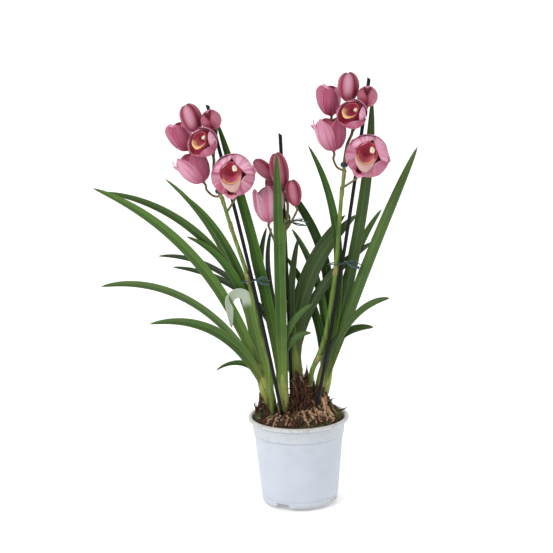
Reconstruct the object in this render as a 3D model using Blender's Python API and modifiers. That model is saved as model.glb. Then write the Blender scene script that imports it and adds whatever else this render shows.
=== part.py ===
"""Potted boat orchid: a pale plastic pot of bark mix, four leafy shoots, three flower spikes, three stakes.

Metres, +Z up, the viewer of the plant stands at -Y. The origin is the middle of the flat floor under the pot.
"""

import math
import random

import bmesh
import bpy
import numpy as np
from mathutils import Matrix, Vector

GAP = 0.0003  # free space between neighbouring pieces

# Pot: a 12 cm nursery pot with a rolled rim, a collar and four raised channels under it
RIM_RADIUS = 0.060
RIM_TOP = 0.1025
RIM_ROLL = 0.0025
COLLAR_RADIUS = 0.0554
COLLAR_LOW_RADIUS = 0.0541
COLLAR_BOTTOM = 0.082
WALL_RADIUS_TOP = 0.0531
BASE_RADIUS = 0.045
WALL = 0.0014
FLOOR = 0.0016
FOOT_HEIGHT = 0.0054
FOOT_WIDTH = 0.0026
FOOT_DISC_RADIUS = 0.0165
POT_STEPS = 32
CHANNEL_AZIMUTHS = (242.0, 332.0, 62.0, 152.0)
CHANNEL_WIDTH = 0.017
CHANNEL_HEIGHT = 0.0050
CHANNEL_REACH = 0.006
DRAIN_RADIUS = 0.0035
DRAIN_CENTRE = 0.030

# Mix: rings and spokes of its grid, and its heaps as x, y, height, spread along x, spread along y
MIX_RINGS = 8
MIX_SPOKES = 24
MIX_EDGE = 0.0985
MIX_DOME = 0.0095
MIX_RELIEF = 0.0012
MIX_SIDE_GAP = 0.0007
HOLE_REACH = 0.060
MIX_HEAPS = (
    (0.005, 0.025, 0.038, 0.013, 0.012),
    (0.026, 0.006, 0.031, 0.016, 0.016),
    (-0.041, 0.006, 0.017, 0.009, 0.012),
)

# Bare roots on the bark: start x, y, end x, y, radius
ROOTS = (
    (-0.033, -0.020, -0.038, -0.034, 0.0015),
    (-0.025, -0.023, -0.031, -0.041, 0.0017),
    (-0.012, -0.018, -0.015, -0.046, 0.0014),
    (-0.001, -0.004, -0.003, -0.035, 0.0018),
    (0.004, 0.000, 0.010, -0.047, 0.0020),
    (0.010, -0.012, 0.023, -0.043, 0.0021),
    (0.016, -0.018, 0.031, -0.037, 0.0016),
    (0.028, -0.004, 0.035, -0.032, 0.0023),
    (0.030, 0.000, 0.043, -0.022, 0.0018),
    (0.036, -0.001, 0.048, -0.009, 0.0016),
)
# One root lies across the others and ties them together
ROOT_BINDER = (
    (-0.037, -0.0260),
    (-0.022, -0.0275),
    (-0.006, -0.0235),
    (0.010, -0.0240),
    (0.026, -0.0225),
    (0.041, -0.0140),
)
ROOT_BINDER_RADIUS = 0.0014
ROOT_BINDER_SINK = 0.0012
ROOT_POINTS = 4
ROOT_SWAY = 0.0022
ROOT_END_SINK = 0.0024
ROOT_TAPER = (0.85, 1.0, 0.95, 0.9, 0.7, 0.7)

# Dry sheath scraps that stand out of the mix: foot x, y, z, tip x, y, z, foot radius
SCRAPS = (
    (0.010, 0.018, 0.136, 0.0115, 0.012, 0.1625, 0.0042),
    (-0.045, 0.004, 0.112, -0.0455, -0.004, 0.1340, 0.0038),
    (0.004, 0.013, 0.122, 0.0045, 0.008, 0.1450, 0.0036),
    (0.0125, -0.0040, 0.118, 0.0135, -0.0050, 0.1475, 0.0045),
    (0.0175, 0.016, 0.126, 0.0185, 0.014, 0.1510, 0.0034),
    (-0.049, 0.000, 0.106, -0.0530, -0.003, 0.1210, 0.0030),
    (0.044, 0.008, 0.103, 0.0590, 0.000, 0.1105, 0.0020),
    (-0.036, -0.012, 0.104, -0.0365, -0.017, 0.1200, 0.0030),
    (0.024, -0.006, 0.108, 0.0265, -0.012, 0.1215, 0.0030),
)

# Shoots: foot x, y, z, lean to +x in degrees, radius of the swollen foot
SHOOTS = {
    "left": (-0.036, 0.006, 0.125, -13.0, 0.0072),
    "front": (-0.018, -0.006, 0.118, 0.0, 0.0056),
    "back": (-0.001, 0.020, 0.135, 0.0, 0.0062),
    "right": (0.0295, 0.016, 0.131, 11.0, 0.0078),
}
BULB_LENGTH = 0.062
BULB_FOOT = 0.020
BULB_FLATNESS = 0.80
BULB_SIDES = 8
BULB_RINGS = (0.10, 0.30, 0.55, 0.80, 1.0)  # shares of the length above the foot
BULB_SWELL = (0.55, 0.95, 1.0, 0.92, 0.70, 0.48, 0.22)

# Leaves: shoot, azimuth, length, width, lean at foot and at tip, bend power, facing, offset in y, turn
LEAVES = (
    ("left", 192, 0.338, 0.0140, 16.8, 66.7, 1.45, 66, 0.000, 0),
    ("left", 188, 0.346, 0.0125, 2.5, 82.8, 1.33, 60, 0.002, 0),
    ("left", 165, 0.265, 0.0135, 21.8, 104.6, 1.24, 62, 0.000, 0),
    ("left", 216, 0.210, 0.0130, 21.0, 92.3, 1.12, 60, 0.000, 0),
    ("left", 205, 0.093, 0.0095, 4.8, 122.7, 1.18, 55, 0.000, 0),
    ("left", 159, 0.293, 0.0120, 11.5, 56.3, 2.08, 68, 0.001, 0),
    ("left", 179, 0.276, 0.0115, 7.1, 54.1, 2.14, 64, 0.002, 0),
    ("left", 190, 0.228, 0.0115, 8.2, 68.1, 2.56, 64, 0.001, 0),
    ("back", 160, 0.250, 0.0115, 18.2, 97.3, 1.46, 60, 0.004, 0),
    ("back", 171, 0.222, 0.0110, 5.2, 86.8, 0.98, 62, 0.004, 0),
    ("front", 168, 0.344, 0.0140, 1.0, 17.5, 0.50, 78, 0.002, 0),
    ("front", 264, 0.303, 0.0130, 3.2, 3.6, 1.00, 0, -0.002, 0),
    ("back", 0, 0.180, 0.0100, -6.0, 14.0, 1.60, 70, 0.001, 0),
    ("front", 348, 0.108, 0.0110, -8.0, 91.0, 2.20, 66, 0.000, 0),
    ("front", 350, 0.137, 0.0100, -8.0, 60.0, 1.70, 66, -0.001, 0),
    ("back", 148, 0.193, 0.0110, 19.1, -20.0, 3.00, 70, 0.003, 0),
    ("back", 144, 0.215, 0.0120, 27.4, 0.5, 2.08, 66, 0.003, 0),
    ("back", 164, 0.198, 0.0110, 26.3, -20.0, 1.83, 68, 0.002, 0),
    ("back", 355, 0.227, 0.0165, -2.2, 50.5, 1.39, 74, -0.001, 0),
    ("back", 4, 0.221, 0.0135, -9.0, 46.0, 1.14, 78, 0.001, 0),
    ("back", 0, 0.207, 0.0125, -9.5, 60.1, 0.84, 78, -0.002, 0),
    ("right", 222, 0.298, 0.0125, -12.0, 63.0, 1.66, 80, 0.006, -84),
    ("right", 140, 0.200, 0.0145, -12.0, 44.0, 1.25, 80, 0.008, 0),
    ("right", 152, 0.168, 0.0135, -12.5, 39.5, 0.80, 78, 0.003, 0),
    ("right", 347, 0.313, 0.0145, 18.8, 25.0, 1.24, 70, -0.003, 0),
    ("right", 4, 0.352, 0.0140, 14.7, 0.8, 2.12, 76, -0.004, 0),
    ("right", 170, 0.299, 0.0110, -12.0, 30.0, 1.90, 82, -0.005, 0),
    ("right", 318, 0.169, 0.0120, 18.5, 78.0, 1.80, 62, -0.002, 0),
    ("right", 336, 0.118, 0.0120, -5.0, 93.0, 1.20, 60, -0.003, 0),
    ("right", 25, 0.227, 0.0110, 12.0, 43.0, 2.20, 70, 0.003, 0),
)
# The folded leaf stands, then folds over between two shares of its length:
# shoot, azimuth, length, width, lean at foot, lean at tip, fold from, fold to, facing
FOLD_LEAF = ("left", 189, 0.184, 0.0150, 11.0, 184.0, 0.66, 0.84, 72)
FOLD_OFFSET = (0.0017, -0.0040)
LEAF_THICKNESS = 0.0011
LEAF_KEEL = 0.10
LEAF_STEPS = 7
LEAF_FINE = 8  # substeps of the midrib curve per step
LEAF_FOOT_WIDTH = 0.55
LEAF_FULL_WIDTH_AT = 0.28
LEAF_TIP_POWERS = (5, 0.6)
LEAF_TIP_HALF = 0.0004

# Stakes: foot x, y, z and top x, y, z with the sideways bow at mid height
STAKE_RADIUS = 0.0021
STAKE_CUT_DEGREES = 35.0
STAKE_STEPS = 4
CUT_BLOCK = 0.012
STAKES = {
    "left": ((-0.0190, -0.0185, 0.106), (-0.0980, 0.007, 0.473), 0.0030),
    "centre": ((-0.0075, 0.0095, 0.108), (-0.0150, 0.0135, 0.437), 0.0008),
    "right": ((0.0205, -0.0100, 0.106), (0.0880, 0.006, 0.500), 0.0030),
}

# Flower spikes in the frame of the right one: rachis x, y, z, radius; the left one is the same turned about +Y
SPIKE_PATH = (
    (0.0130, 0.0040, 0.116, 0.0031),
    (0.0165, 0.0030, 0.152, 0.0031),
    (0.0240, 0.0020, 0.171, 0.0031),
    (0.0330, 0.0020, 0.195, 0.0030),
    (0.0385, 0.0015, 0.222, 0.0029),
    (0.0440, 0.0010, 0.257, 0.0028),
    (0.0492, 0.0005, 0.302, 0.0025),
    (0.0535, 0.0010, 0.354, 0.0023),
    (0.0560, 0.0010, 0.3745, 0.0022),
    (0.0570, 0.0010, 0.383, 0.0021),
    (0.0578, 0.0012, 0.3945, 0.0020),
    (0.0585, 0.0015, 0.405, 0.0020),
    (0.0620, 0.0035, 0.424, 0.0018),
    (0.0680, 0.0060, 0.438, 0.0017),
    (0.0685, 0.0070, 0.452, 0.0016),
    (0.0655, 0.0040, 0.464, 0.0015),
)
LEFT_TURN = -22.5
LEFT_SHIFT = (0.0125, -0.0042, -0.0185)
# The left stem stands further from the pot's middle: its two lowest points
LEFT_FOOT = ((-0.0315, -0.0060, 0.104), (-0.0312, -0.0055, 0.132))
# Blooms of one spike: name, foot, aim, form, height, radius, point of the rachis where its stalk starts
SPIKE_BLOOMS = (
    ("top_bud", (0.0640, 0.000, 0.4735), (0.00, 0.00, 1.0), "bud", 0.0350, 0.0125, 15),
    ("side_bud", (0.0857, -0.0025, 0.4728), (-0.06, -0.78, 0.62), "bud", 0.0250, 0.0118, 13),
    ("half_open", (0.0450, 0.0190, 0.4555), (-0.12, 0.00, 1.0), "half", 0.0360, 0.0146, 15),
    ("front", (0.0695, -0.0129, 0.4532), (-0.16, -0.80, 0.58), "cup", 0.0230, 0.0173, 14),
    ("low_side", (0.0465, 0.0020, 0.4165), (-0.12, 0.02, 1.0), "half", 0.0385, 0.0182, 10),
    ("low_front", (0.0828, -0.0135, 0.4086), (0.03, -0.93, 0.34), "cup", 0.0270, 0.0248, 8),
)
CENTRE_PATH = (
    (-0.0140, 0.0035, 0.120, 0.0026),
    (-0.0142, 0.0035, 0.194, 0.0025),
    (-0.0142, 0.0035, 0.242, 0.0024),
    (-0.0135, 0.0035, 0.289, 0.0022),
    (-0.0115, 0.0035, 0.325, 0.0019),
    (-0.0085, 0.0025, 0.345, 0.0017),
    (-0.0080, 0.0005, 0.358, 0.0016),
    (-0.0105, -0.0010, 0.367, 0.0015),
)
CENTRE_BLOOMS = (
    ("left_bud", (-0.0220, 0.0110, 0.3840), (-0.70, 0.00, 0.71), "bud", 0.0340, 0.0085, 6),
    ("top_bud", (-0.0130, -0.0020, 0.3740), (-0.17, 0.00, 0.98), "bud", 0.0450, 0.0110, 7),
    ("right_bud", (0.0015, -0.0120, 0.3560), (-0.16, 0.00, 0.98), "bud", 0.0320, 0.0094, 4),
    ("half_open", (-0.0300, -0.0015, 0.3350), (0.00, 0.02, 1.0), "half", 0.0420, 0.0180, 3),
    ("back_bud", (-0.0240, 0.0270, 0.3610), (-0.22, 0.00, 0.97), "bud", 0.0260, 0.0066, 4),
)
# The back bud's stalk passes round the far side of the stake
BACK_STALK = ((-0.0060, 0.0110, 0.338), (-0.0105, 0.0190, 0.345))
PEDICEL_RADIUS = 0.0013
PEDICEL_END = 1.15
PEDICEL_BEND = (0.005, 0.15)  # length of its straight end, and the most of its reach that takes
PEDICEL_SAG = 0.05
# Points that a stalk passes on its way, in the right spike's frame
STALK_ROUTES = {
    "low_side": ((0.0500, 0.0015, 0.3985), (0.0458, 0.0018, 0.4080)),
    "low_front": ((0.0745, -0.0040, 0.3885),),
    "side_bud": ((0.0755, -0.0035, 0.4510), (0.0835, -0.0020, 0.4640)),
}
OVARY_RADIUS = 0.0026

# Tepals: azimuth in the bloom, share of the bloom's radius, half width as an angle, height share
BLOOM_TEPALS = (
    (90.0, 1.00, 54.0, 1.00),
    (212.0, 1.00, 57.0, 0.98),
    (328.0, 1.00, 57.0, 0.98),
    (38.0, 0.86, 50.0, 0.96),
    (142.0, 0.86, 50.0, 0.96),
)
SEPALS = 3
# Outline of a tepal from foot to tip: share of radius, share of height
FORMS = {
    "cup": ((0.10, 0.00), (0.50, 0.06), (0.86, 0.30), (1.00, 0.62), (0.96, 0.88), (0.84, 1.06)),
    "half": ((0.10, 0.00), (0.52, 0.10), (0.88, 0.34), (1.00, 0.60), (0.80, 0.86), (0.46, 1.02)),
}
TEPAL_THICKNESS = 0.0009
TEPAL_ALONG = 4
TEPAL_ACROSS = 3
TEPAL_LIFT = 0.0016
TEPAL_SPREAD = (0.16, 0.74, 0.7)  # where on a half sine wave its width starts, how far it runs, its power
TEPAL_DROOP = 0.16
# Bud: shares of height and of radius, and how strongly its three sepals bulge
BUD_HEIGHTS = (0.0, 0.08, 0.24, 0.50, 0.74, 0.89, 0.97)
BUD_SWELL = (0.18, 0.48, 0.84, 1.0, 0.84, 0.54, 0.26)
BUD_SIDES = 9
BUD_LOBES = 0.10
BUD_DIMPLE = 0.04
# Knob of an open bloom: heights and shares of its radius
OVARY_HEIGHTS = (-0.0004, 0.0016, 0.0038)
OVARY_SWELL = (0.50, 1.15, 0.70)
OVARY_SIDES = 8
# Lip: share of the bloom's radius, share of its height, half width as an angle
LIP_OUTLINE = (
    (0.16, 0.26, 70.0),
    (0.32, 0.34, 78.0),
    (0.46, 0.58, 87.0),
    (0.46, 0.90, 95.0),
    (0.58, 1.10, 46.0),
    (0.70, 1.12, 20.0),
)
LIP_FOOT = (0.0026, 0.0048)  # its first row sits this far out and up, just clear of the knob and the column
LIP_ACROSS = 4
LIP_DROP = 0.04
# Column: distance above the axis, share of the bloom's height, radius; it starts just clear of the knob
COLUMN_PATH = ((0.0006, 0.0, 0.0012), (0.0014, 0.40, 0.0014), (0.0018, 0.62, 0.0019), (0.0008, 0.70, 0.0012))
COLUMN_FOOT = 0.0041

# Twist ties: middle of the loop, half length along x, half width along y, reach of the lower prong
TIES = {
    "left": ((-0.0552, -0.0052, 0.268), 0.0094, 0.0060, (0.0155, -0.002, -0.006)),
    "centre": ((-0.0112, 0.0077, 0.334), 0.0056, 0.0091, (0.021, -0.006, -0.004)),
    "right": ((0.0487, -0.0012, 0.286), 0.0100, 0.0060, (0.019, -0.003, -0.009)),
}
TIE_RADIUS = 0.0009
TIE_STEPS = 10
TIE_OPENING = 20.0
TIE_TILT = 0.0010
TIE_PRONG = (0.7, 0.0045)  # reach of the upper prong as a share of the lower one's, and its rise
TIE_BEND = (0.001, 0.0, 0.0)
# Dark sleeves on the stems: the point of the spike's path they follow
CLIP_PLACES = {"left": 10, "right": 10}
CLIP_DISTANCE = 0.0070
CLIP_CLEARANCE = 0.0004
CLIP_HEIGHT = 0.0048
CLIP_WALL = 0.0015

COLOURS = {
    "pot": ((0.60, 0.67, 0.76), 0.38),
    "mix": ((0.055, 0.028, 0.018), 0.95),
    "root": ((0.55, 0.36, 0.21), 0.80),
    "leaf": ((0.050, 0.145, 0.030), 0.42),
    "dark_leaf": ((0.035, 0.085, 0.030), 0.42),
    "stem": ((0.20, 0.30, 0.045), 0.45),
    "bloom": ((0.52, 0.14, 0.25), 0.50),
    "bud": ((0.38, 0.085, 0.15), 0.50),
    "lip": ((0.36, 0.02, 0.06), 0.45),
    "column": ((0.80, 0.74, 0.52), 0.40),
    "stake": ((0.012, 0.014, 0.022), 0.35),
    "tie": ((0.030, 0.072, 0.072), 0.45),
}

for old in list(bpy.data.objects):
    bpy.data.objects.remove(old, do_unlink=True)

scene_collection = bpy.context.scene.collection
orchid = bpy.data.collections.new("potted_boat_orchid")
scene_collection.children.link(orchid)
cutters = bpy.data.collections.new("cutters")
cutters.hide_render = True
scene_collection.children.link(cutters)


def material(slot):
    """One plain Principled material per slot."""
    found = bpy.data.materials.get(slot)
    if found:
        return found
    colour, roughness = COLOURS[slot]
    made = bpy.data.materials.new(slot)
    made.use_nodes = True
    shader = made.node_tree.nodes["Principled BSDF"]
    shader.inputs["Base Color"].default_value = (*colour, 1.0)
    shader.inputs["Roughness"].default_value = roughness
    shader.inputs["Metallic"].default_value = 0.0
    return made


def finish(obj, slot, smooth=True):
    """Moves an object into the orchid's collection with its material."""
    for home in list(obj.users_collection):
        home.objects.unlink(obj)
    orchid.objects.link(obj)
    obj.data.materials.clear()
    obj.data.materials.append(material(slot))
    obj.data.polygons.foreach_set("use_smooth", [smooth] * len(obj.data.polygons))
    return obj


def new_object(name, points, faces):
    """A mesh object in the cutters' collection; finish() takes it out of there."""
    mesh = bpy.data.meshes.new(name)
    mesh.from_pydata([tuple(p) for p in points], [], faces)
    mesh.update()
    obj = bpy.data.objects.new(name, mesh)
    obj.hide_render = False
    cutters.objects.link(obj)
    return obj


def baked(obj):
    """Replaces the object's data by its evaluated mesh, in world space, and drops its modifiers."""
    bpy.context.view_layer.update()
    graph = bpy.context.evaluated_depsgraph_get()
    mesh = bpy.data.meshes.new_from_object(obj.evaluated_get(graph))
    mesh.transform(obj.matrix_world)
    name = obj.name
    homes = list(obj.users_collection)
    bpy.data.objects.remove(obj, do_unlink=True)
    fresh = bpy.data.objects.new(name, mesh)
    for home in homes:
        home.objects.link(fresh)
    shape = bmesh.new()
    shape.from_mesh(mesh)
    bmesh.ops.remove_doubles(shape, verts=shape.verts, dist=2e-6)
    bmesh.ops.recalc_face_normals(shape, faces=shape.faces)
    shape.to_mesh(mesh)
    shape.free()
    return fresh


def boolean(base, others, operation):
    """Joins or cuts base with a list of meshes in one step, then removes them."""
    group = bpy.data.collections.new("group")
    scene_collection.children.link(group)
    for other in others:
        for home in list(other.users_collection):
            home.objects.unlink(other)
        group.objects.link(other)
    step = base.modifiers.new(operation.lower(), "BOOLEAN")
    step.operation = operation
    step.solver = "MANIFOLD"
    step.operand_type = "COLLECTION"
    step.collection = group
    base = baked(base)
    for other in others:
        bpy.data.objects.remove(other, do_unlink=True)
    bpy.data.collections.remove(group)
    return one_shell(base)


def one_shell(obj):
    """Keeps the largest connected shell: fills a hollow that joining sealed and drops loose scrap."""
    shape = bmesh.new()
    shape.from_mesh(obj.data)
    left = set(shape.verts)
    shells = []
    while left:
        front = [left.pop()]
        shell = list(front)
        while front:
            vert = front.pop()
            for edge in vert.link_edges:
                other = edge.other_vert(vert)
                if other in left:
                    left.remove(other)
                    front.append(other)
                    shell.append(other)
        shells.append(shell)
    shells.sort(key=len)
    for shell in shells[:-1]:
        bmesh.ops.delete(shape, geom=shell, context="VERTS")
    shape.to_mesh(obj.data)
    shape.free()
    return obj


def tube(name, path, radii, sides=2):
    """A round rod along a polyline; the radius may change from point to point."""
    curve = bpy.data.curves.new(name, "CURVE")
    curve.dimensions = "3D"
    curve.bevel_depth = 1.0
    curve.bevel_resolution = sides
    curve.use_fill_caps = True
    spline = curve.splines.new("POLY")
    spline.points.add(len(path) - 1)
    for point, place, radius in zip(spline.points, path, radii):
        point.co = (*place, 1.0)
        point.radius = radius
    obj = bpy.data.objects.new(name, curve)
    cutters.objects.link(obj)
    return baked(obj)


def grid_faces(rows, columns, wrap=False):
    """Triangles over a rows by columns grid of points."""
    faces = []
    last = columns if wrap else columns - 1
    for i in range(rows - 1):
        for j in range(last):
            k = (j + 1) % columns
            a, b = i * columns + j, i * columns + k
            c, d = a + columns, b + columns
            faces.append((a, b, d))
            faces.append((a, d, c))
    return faces


def blade(name, points, thickness):
    """A thin leaf or petal from a grid of points: triangles alike on both faces."""
    rows, columns, _ = points.shape
    obj = new_object(name, points.reshape(-1, 3), grid_faces(rows, columns))
    skin = obj.modifiers.new("thickness", "SOLIDIFY")
    skin.thickness = thickness
    skin.offset = 0.0
    return baked(obj)


def closed_round(name, rings):
    """A closed body from stacked rings, its two ends drawn to a point each."""
    rows, columns, _ = rings.shape
    points = list(rings.reshape(-1, 3))
    faces = grid_faces(rows, columns, wrap=True)
    points.append(rings[0].mean(axis=0))
    points.append(rings[-1].mean(axis=0))
    foot, head = rows * columns, rows * columns + 1
    for j in range(columns):
        k = (j + 1) % columns
        faces.append((foot, k, j))
        faces.append((head, (rows - 1) * columns + j, (rows - 1) * columns + k))
    return baked(new_object(name, points, faces))


def leaf_points(foot, row, fold=(0.0, 1.0)):
    """The grid of a strap leaf: the midrib leans over along its length, and the blade is turned by facing degrees.

    The fold gives the two shares of the length between which the lean goes from its foot value to its tip value.
    """
    azimuth, length, width, lean_foot, lean_tip, bend, facing, turn = row
    count = LEAF_FINE * LEAF_STEPS
    share = np.linspace(0.0, 1.0, count + 1)
    bent = np.clip((share - fold[0]) / (fold[1] - fold[0]), 0.0, 1.0) ** bend
    lean = np.radians(lean_foot + (lean_tip - lean_foot) * bent)
    around = np.radians(azimuth + turn * share)
    heading = np.stack([np.sin(lean) * np.cos(around), np.sin(lean) * np.sin(around), np.cos(lean)], 1)
    steps = (heading[1:] + heading[:-1]) / 2 * length / count
    path = np.vstack([np.zeros(3), np.cumsum(steps, 0)]) + foot
    level = np.stack([-np.sin(around), np.cos(around), np.zeros_like(around)], 1)
    upper = np.cross(heading, level)
    tilt = math.radians(facing)
    across = math.cos(tilt) * level + math.sin(tilt) * upper
    face = np.cross(across, heading)
    widen = LEAF_FOOT_WIDTH + (1 - LEAF_FOOT_WIDTH) * np.clip(share / LEAF_FULL_WIDTH_AT, 0, 1)
    power, roundness = LEAF_TIP_POWERS
    half = width / 2 * widen * np.maximum(1 - share**power, 0.0) ** roundness
    half = np.maximum(half, LEAF_TIP_HALF)[::LEAF_FINE, None]
    path, across, face = path[::LEAF_FINE], across[::LEAF_FINE], face[::LEAF_FINE]
    keel = face * half * 2 * LEAF_KEEL
    return np.stack([path - across * half, path - keel, path + across * half], 1)


def make_leaf(row):
    """One leaf of the table, its foot inside the shoot."""
    shoot, azimuth, length, width, lean_foot, lean_tip, bend, facing, offset, turn = row
    x, y, z, _, _ = SHOOTS[shoot]
    shape = (azimuth, length, width, lean_foot, lean_tip, bend, facing, turn)
    return blade("leaf", leaf_points((x, y + offset, z), shape), LEAF_THICKNESS)


def make_folded_leaf():
    """The leaf that stands and then folds over."""
    shoot, azimuth, length, width, lean_foot, lean_tip, start, end, facing = FOLD_LEAF
    x, y, z, _, _ = SHOOTS[shoot]
    foot = (x + FOLD_OFFSET[0], y + FOLD_OFFSET[1], z)
    shape = (azimuth, length, width, lean_foot, lean_tip, 1.0, facing, 0.0)
    return blade("leaf", leaf_points(foot, shape, (start, end)), LEAF_THICKNESS)


def make_shoot(shoot, slot):
    """The sheathed pseudobulb with its leaves, one body."""
    x, y, z, lean, radius = SHOOTS[shoot]
    above = [share * BULB_LENGTH for share in BULB_RINGS]
    heights = np.array([-BULB_FOOT, -0.3 * BULB_FOOT, *above])
    swell = np.array(BULB_SWELL) * radius
    angles = np.linspace(0, 2 * math.pi, BULB_SIDES, endpoint=False)
    slope = math.tan(math.radians(lean))
    rings = np.empty((len(heights), len(angles), 3))
    rings[..., 0] = x + heights[:, None] * slope + swell[:, None] * np.cos(angles)
    rings[..., 1] = y + swell[:, None] * BULB_FLATNESS * np.sin(angles)
    rings[..., 2] = z + heights[:, None]
    body = closed_round("shoot_" + shoot, rings)
    leaves = [make_leaf(row) for row in LEAVES if row[0] == shoot]
    if shoot == FOLD_LEAF[0]:
        leaves.append(make_folded_leaf())
    return finish(boolean(body, leaves, "UNION"), slot)


def frame_along(aim):
    """A turn that takes +Z to aim, keeping the bloom's own +Y as near the world's up as it goes."""
    axis = Vector(aim).normalized()
    up = Vector((0, 0, 1)) if abs(axis.z) < 0.9 else Vector((0, -1, 0))
    side = up.cross(axis).normalized()
    return np.array([side, axis.cross(side), axis]).T


def tepal_points(form, height, radius, azimuth, reach, half_angle, rise, across_steps):
    """The grid of one petal or sepal, hugging the cup's round body and narrowing to a blunt tip."""
    outline = np.array(FORMS[form])
    along = np.linspace(0, 1, TEPAL_ALONG + 1)
    knots = np.linspace(0, 1, len(outline))
    out = np.interp(along, knots, outline[:, 0]) * radius * reach
    up = np.interp(along, knots, outline[:, 1]) * height * rise
    start, run, power = TEPAL_SPREAD
    spread = np.radians(half_angle) * np.sin(np.pi * (start + run * along)) ** power
    across = np.linspace(-1, 1, across_steps + 1)
    angle = math.radians(azimuth) + across[None, :] * spread[:, None]
    droop = (across[None, :] ** 2) * (along[:, None] ** 3) * TEPAL_DROOP * height
    points = np.empty((len(along), len(across), 3))
    points[..., 0] = out[:, None] * np.cos(angle)
    points[..., 1] = out[:, None] * np.sin(angle)
    points[..., 2] = up[:, None] - droop
    return points


def placed(points, foot, turn):
    """Points of a bloom's own frame carried to its foot."""
    return points @ turn.T + np.asarray(foot)


def make_bud(name, foot, turn, height, radius):
    """A closed bud: three sepals meet along seams, with a small dimple at the tip."""
    along = np.array(BUD_HEIGHTS)
    swell = radius * np.array(BUD_SWELL)
    angles = np.linspace(0, 2 * math.pi, BUD_SIDES, endpoint=False)
    lobes = 1 + BUD_LOBES * (np.abs(np.cos(1.5 * angles)) - 0.6)
    rings = np.empty((len(along), len(angles), 3))
    rings[..., 0] = swell[:, None] * lobes * np.cos(angles)
    rings[..., 1] = swell[:, None] * lobes * np.sin(angles)
    rings[..., 2] = along[:, None] * height
    rings[-1, :, 2] += BUD_DIMPLE * height * np.abs(np.cos(1.5 * angles))
    return finish(closed_round(name, placed(rings, foot, turn)), "bud")


def ovary(name, foot, turn):
    """The small knob at the foot of an open bloom, which its petals grow from."""
    angles = np.linspace(0, 2 * math.pi, OVARY_SIDES, endpoint=False)
    heights = np.array(OVARY_HEIGHTS)
    swell = OVARY_RADIUS * np.array(OVARY_SWELL)
    rings = np.empty((len(heights), len(angles), 3))
    rings[..., 0] = swell[:, None] * np.cos(angles)
    rings[..., 1] = swell[:, None] * np.sin(angles)
    rings[..., 2] = heights[:, None]
    return closed_round(name, placed(rings, foot, turn))


def make_open_bloom(name, foot, turn, form, height, radius):
    """Three sepals outside two petals on one knob."""
    parts = []
    for place, (azimuth, reach, half_angle, rise) in enumerate(BLOOM_TEPALS):
        across = TEPAL_ACROSS if place < SEPALS else TEPAL_ACROSS - 1
        points = tepal_points(form, height, radius, azimuth, reach, half_angle, rise, across)
        points[..., 2] += TEPAL_LIFT
        parts.append(blade("tepal", placed(points, foot, turn), TEPAL_THICKNESS))
    return finish(boolean(ovary(name, foot, turn), parts, "UNION"), "bloom")


def make_lip(name, foot, turn, height, radius):
    """The lip inside an open bloom: a scoop with raised side lobes and a hanging front lobe."""
    outline = np.array(LIP_OUTLINE)
    out = outline[:, 0] * radius
    up = outline[:, 1] * height
    out[0], up[0] = LIP_FOOT
    spread = np.radians(outline[:, 2])
    across = np.linspace(-1, 1, LIP_ACROSS + 1)
    angle = math.radians(270.0) + across[None, :] * spread[:, None]
    points = np.empty((len(out), len(across), 3))
    points[..., 0] = out[:, None] * np.cos(angle)
    points[..., 1] = out[:, None] * np.sin(angle) + LIP_DROP * radius
    points[..., 2] = up[:, None]
    return finish(blade(name, placed(points, foot, turn), TEPAL_THICKNESS), "lip")


def make_column(name, foot, turn, height):
    """The column: a short rod over the lip, thicker at its head."""
    path = np.array([(0.0, above, max(COLUMN_FOOT, share * height)) for above, share, _ in COLUMN_PATH])
    radii = [radius for _, _, radius in COLUMN_PATH]
    return finish(tube(name, placed(path, foot, turn), radii), "column")


def turned(points, side):
    """Points of the right spike's frame carried to the given side."""
    points = np.asarray(points, float)
    if side != "left":
        return points
    angle = math.radians(LEFT_TURN)
    flat = np.stack(
        [
            points[..., 0] * math.cos(angle) + points[..., 2] * math.sin(angle),
            points[..., 1],
            points[..., 2] * math.cos(angle) - points[..., 0] * math.sin(angle),
        ],
        -1,
    )
    return flat + np.array(LEFT_SHIFT)


def spike_turn(side):
    """The turn about Y that carries the right spike's own directions to the given side."""
    angle = math.radians(LEFT_TURN if side == "left" else 0.0)
    cosine, sine = math.cos(angle), math.sin(angle)
    return np.array([[cosine, 0, sine], [0, 1, 0], [-sine, 0, cosine]])


def stem_spine(side):
    """The axis of a stem in world space."""
    if side == "centre":
        return np.array(CENTRE_PATH)[:, :3]
    spine = turned(np.array(SPIKE_PATH)[:, :3], side)
    if side == "left":
        spine[:2] = LEFT_FOOT
    return spine


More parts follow.
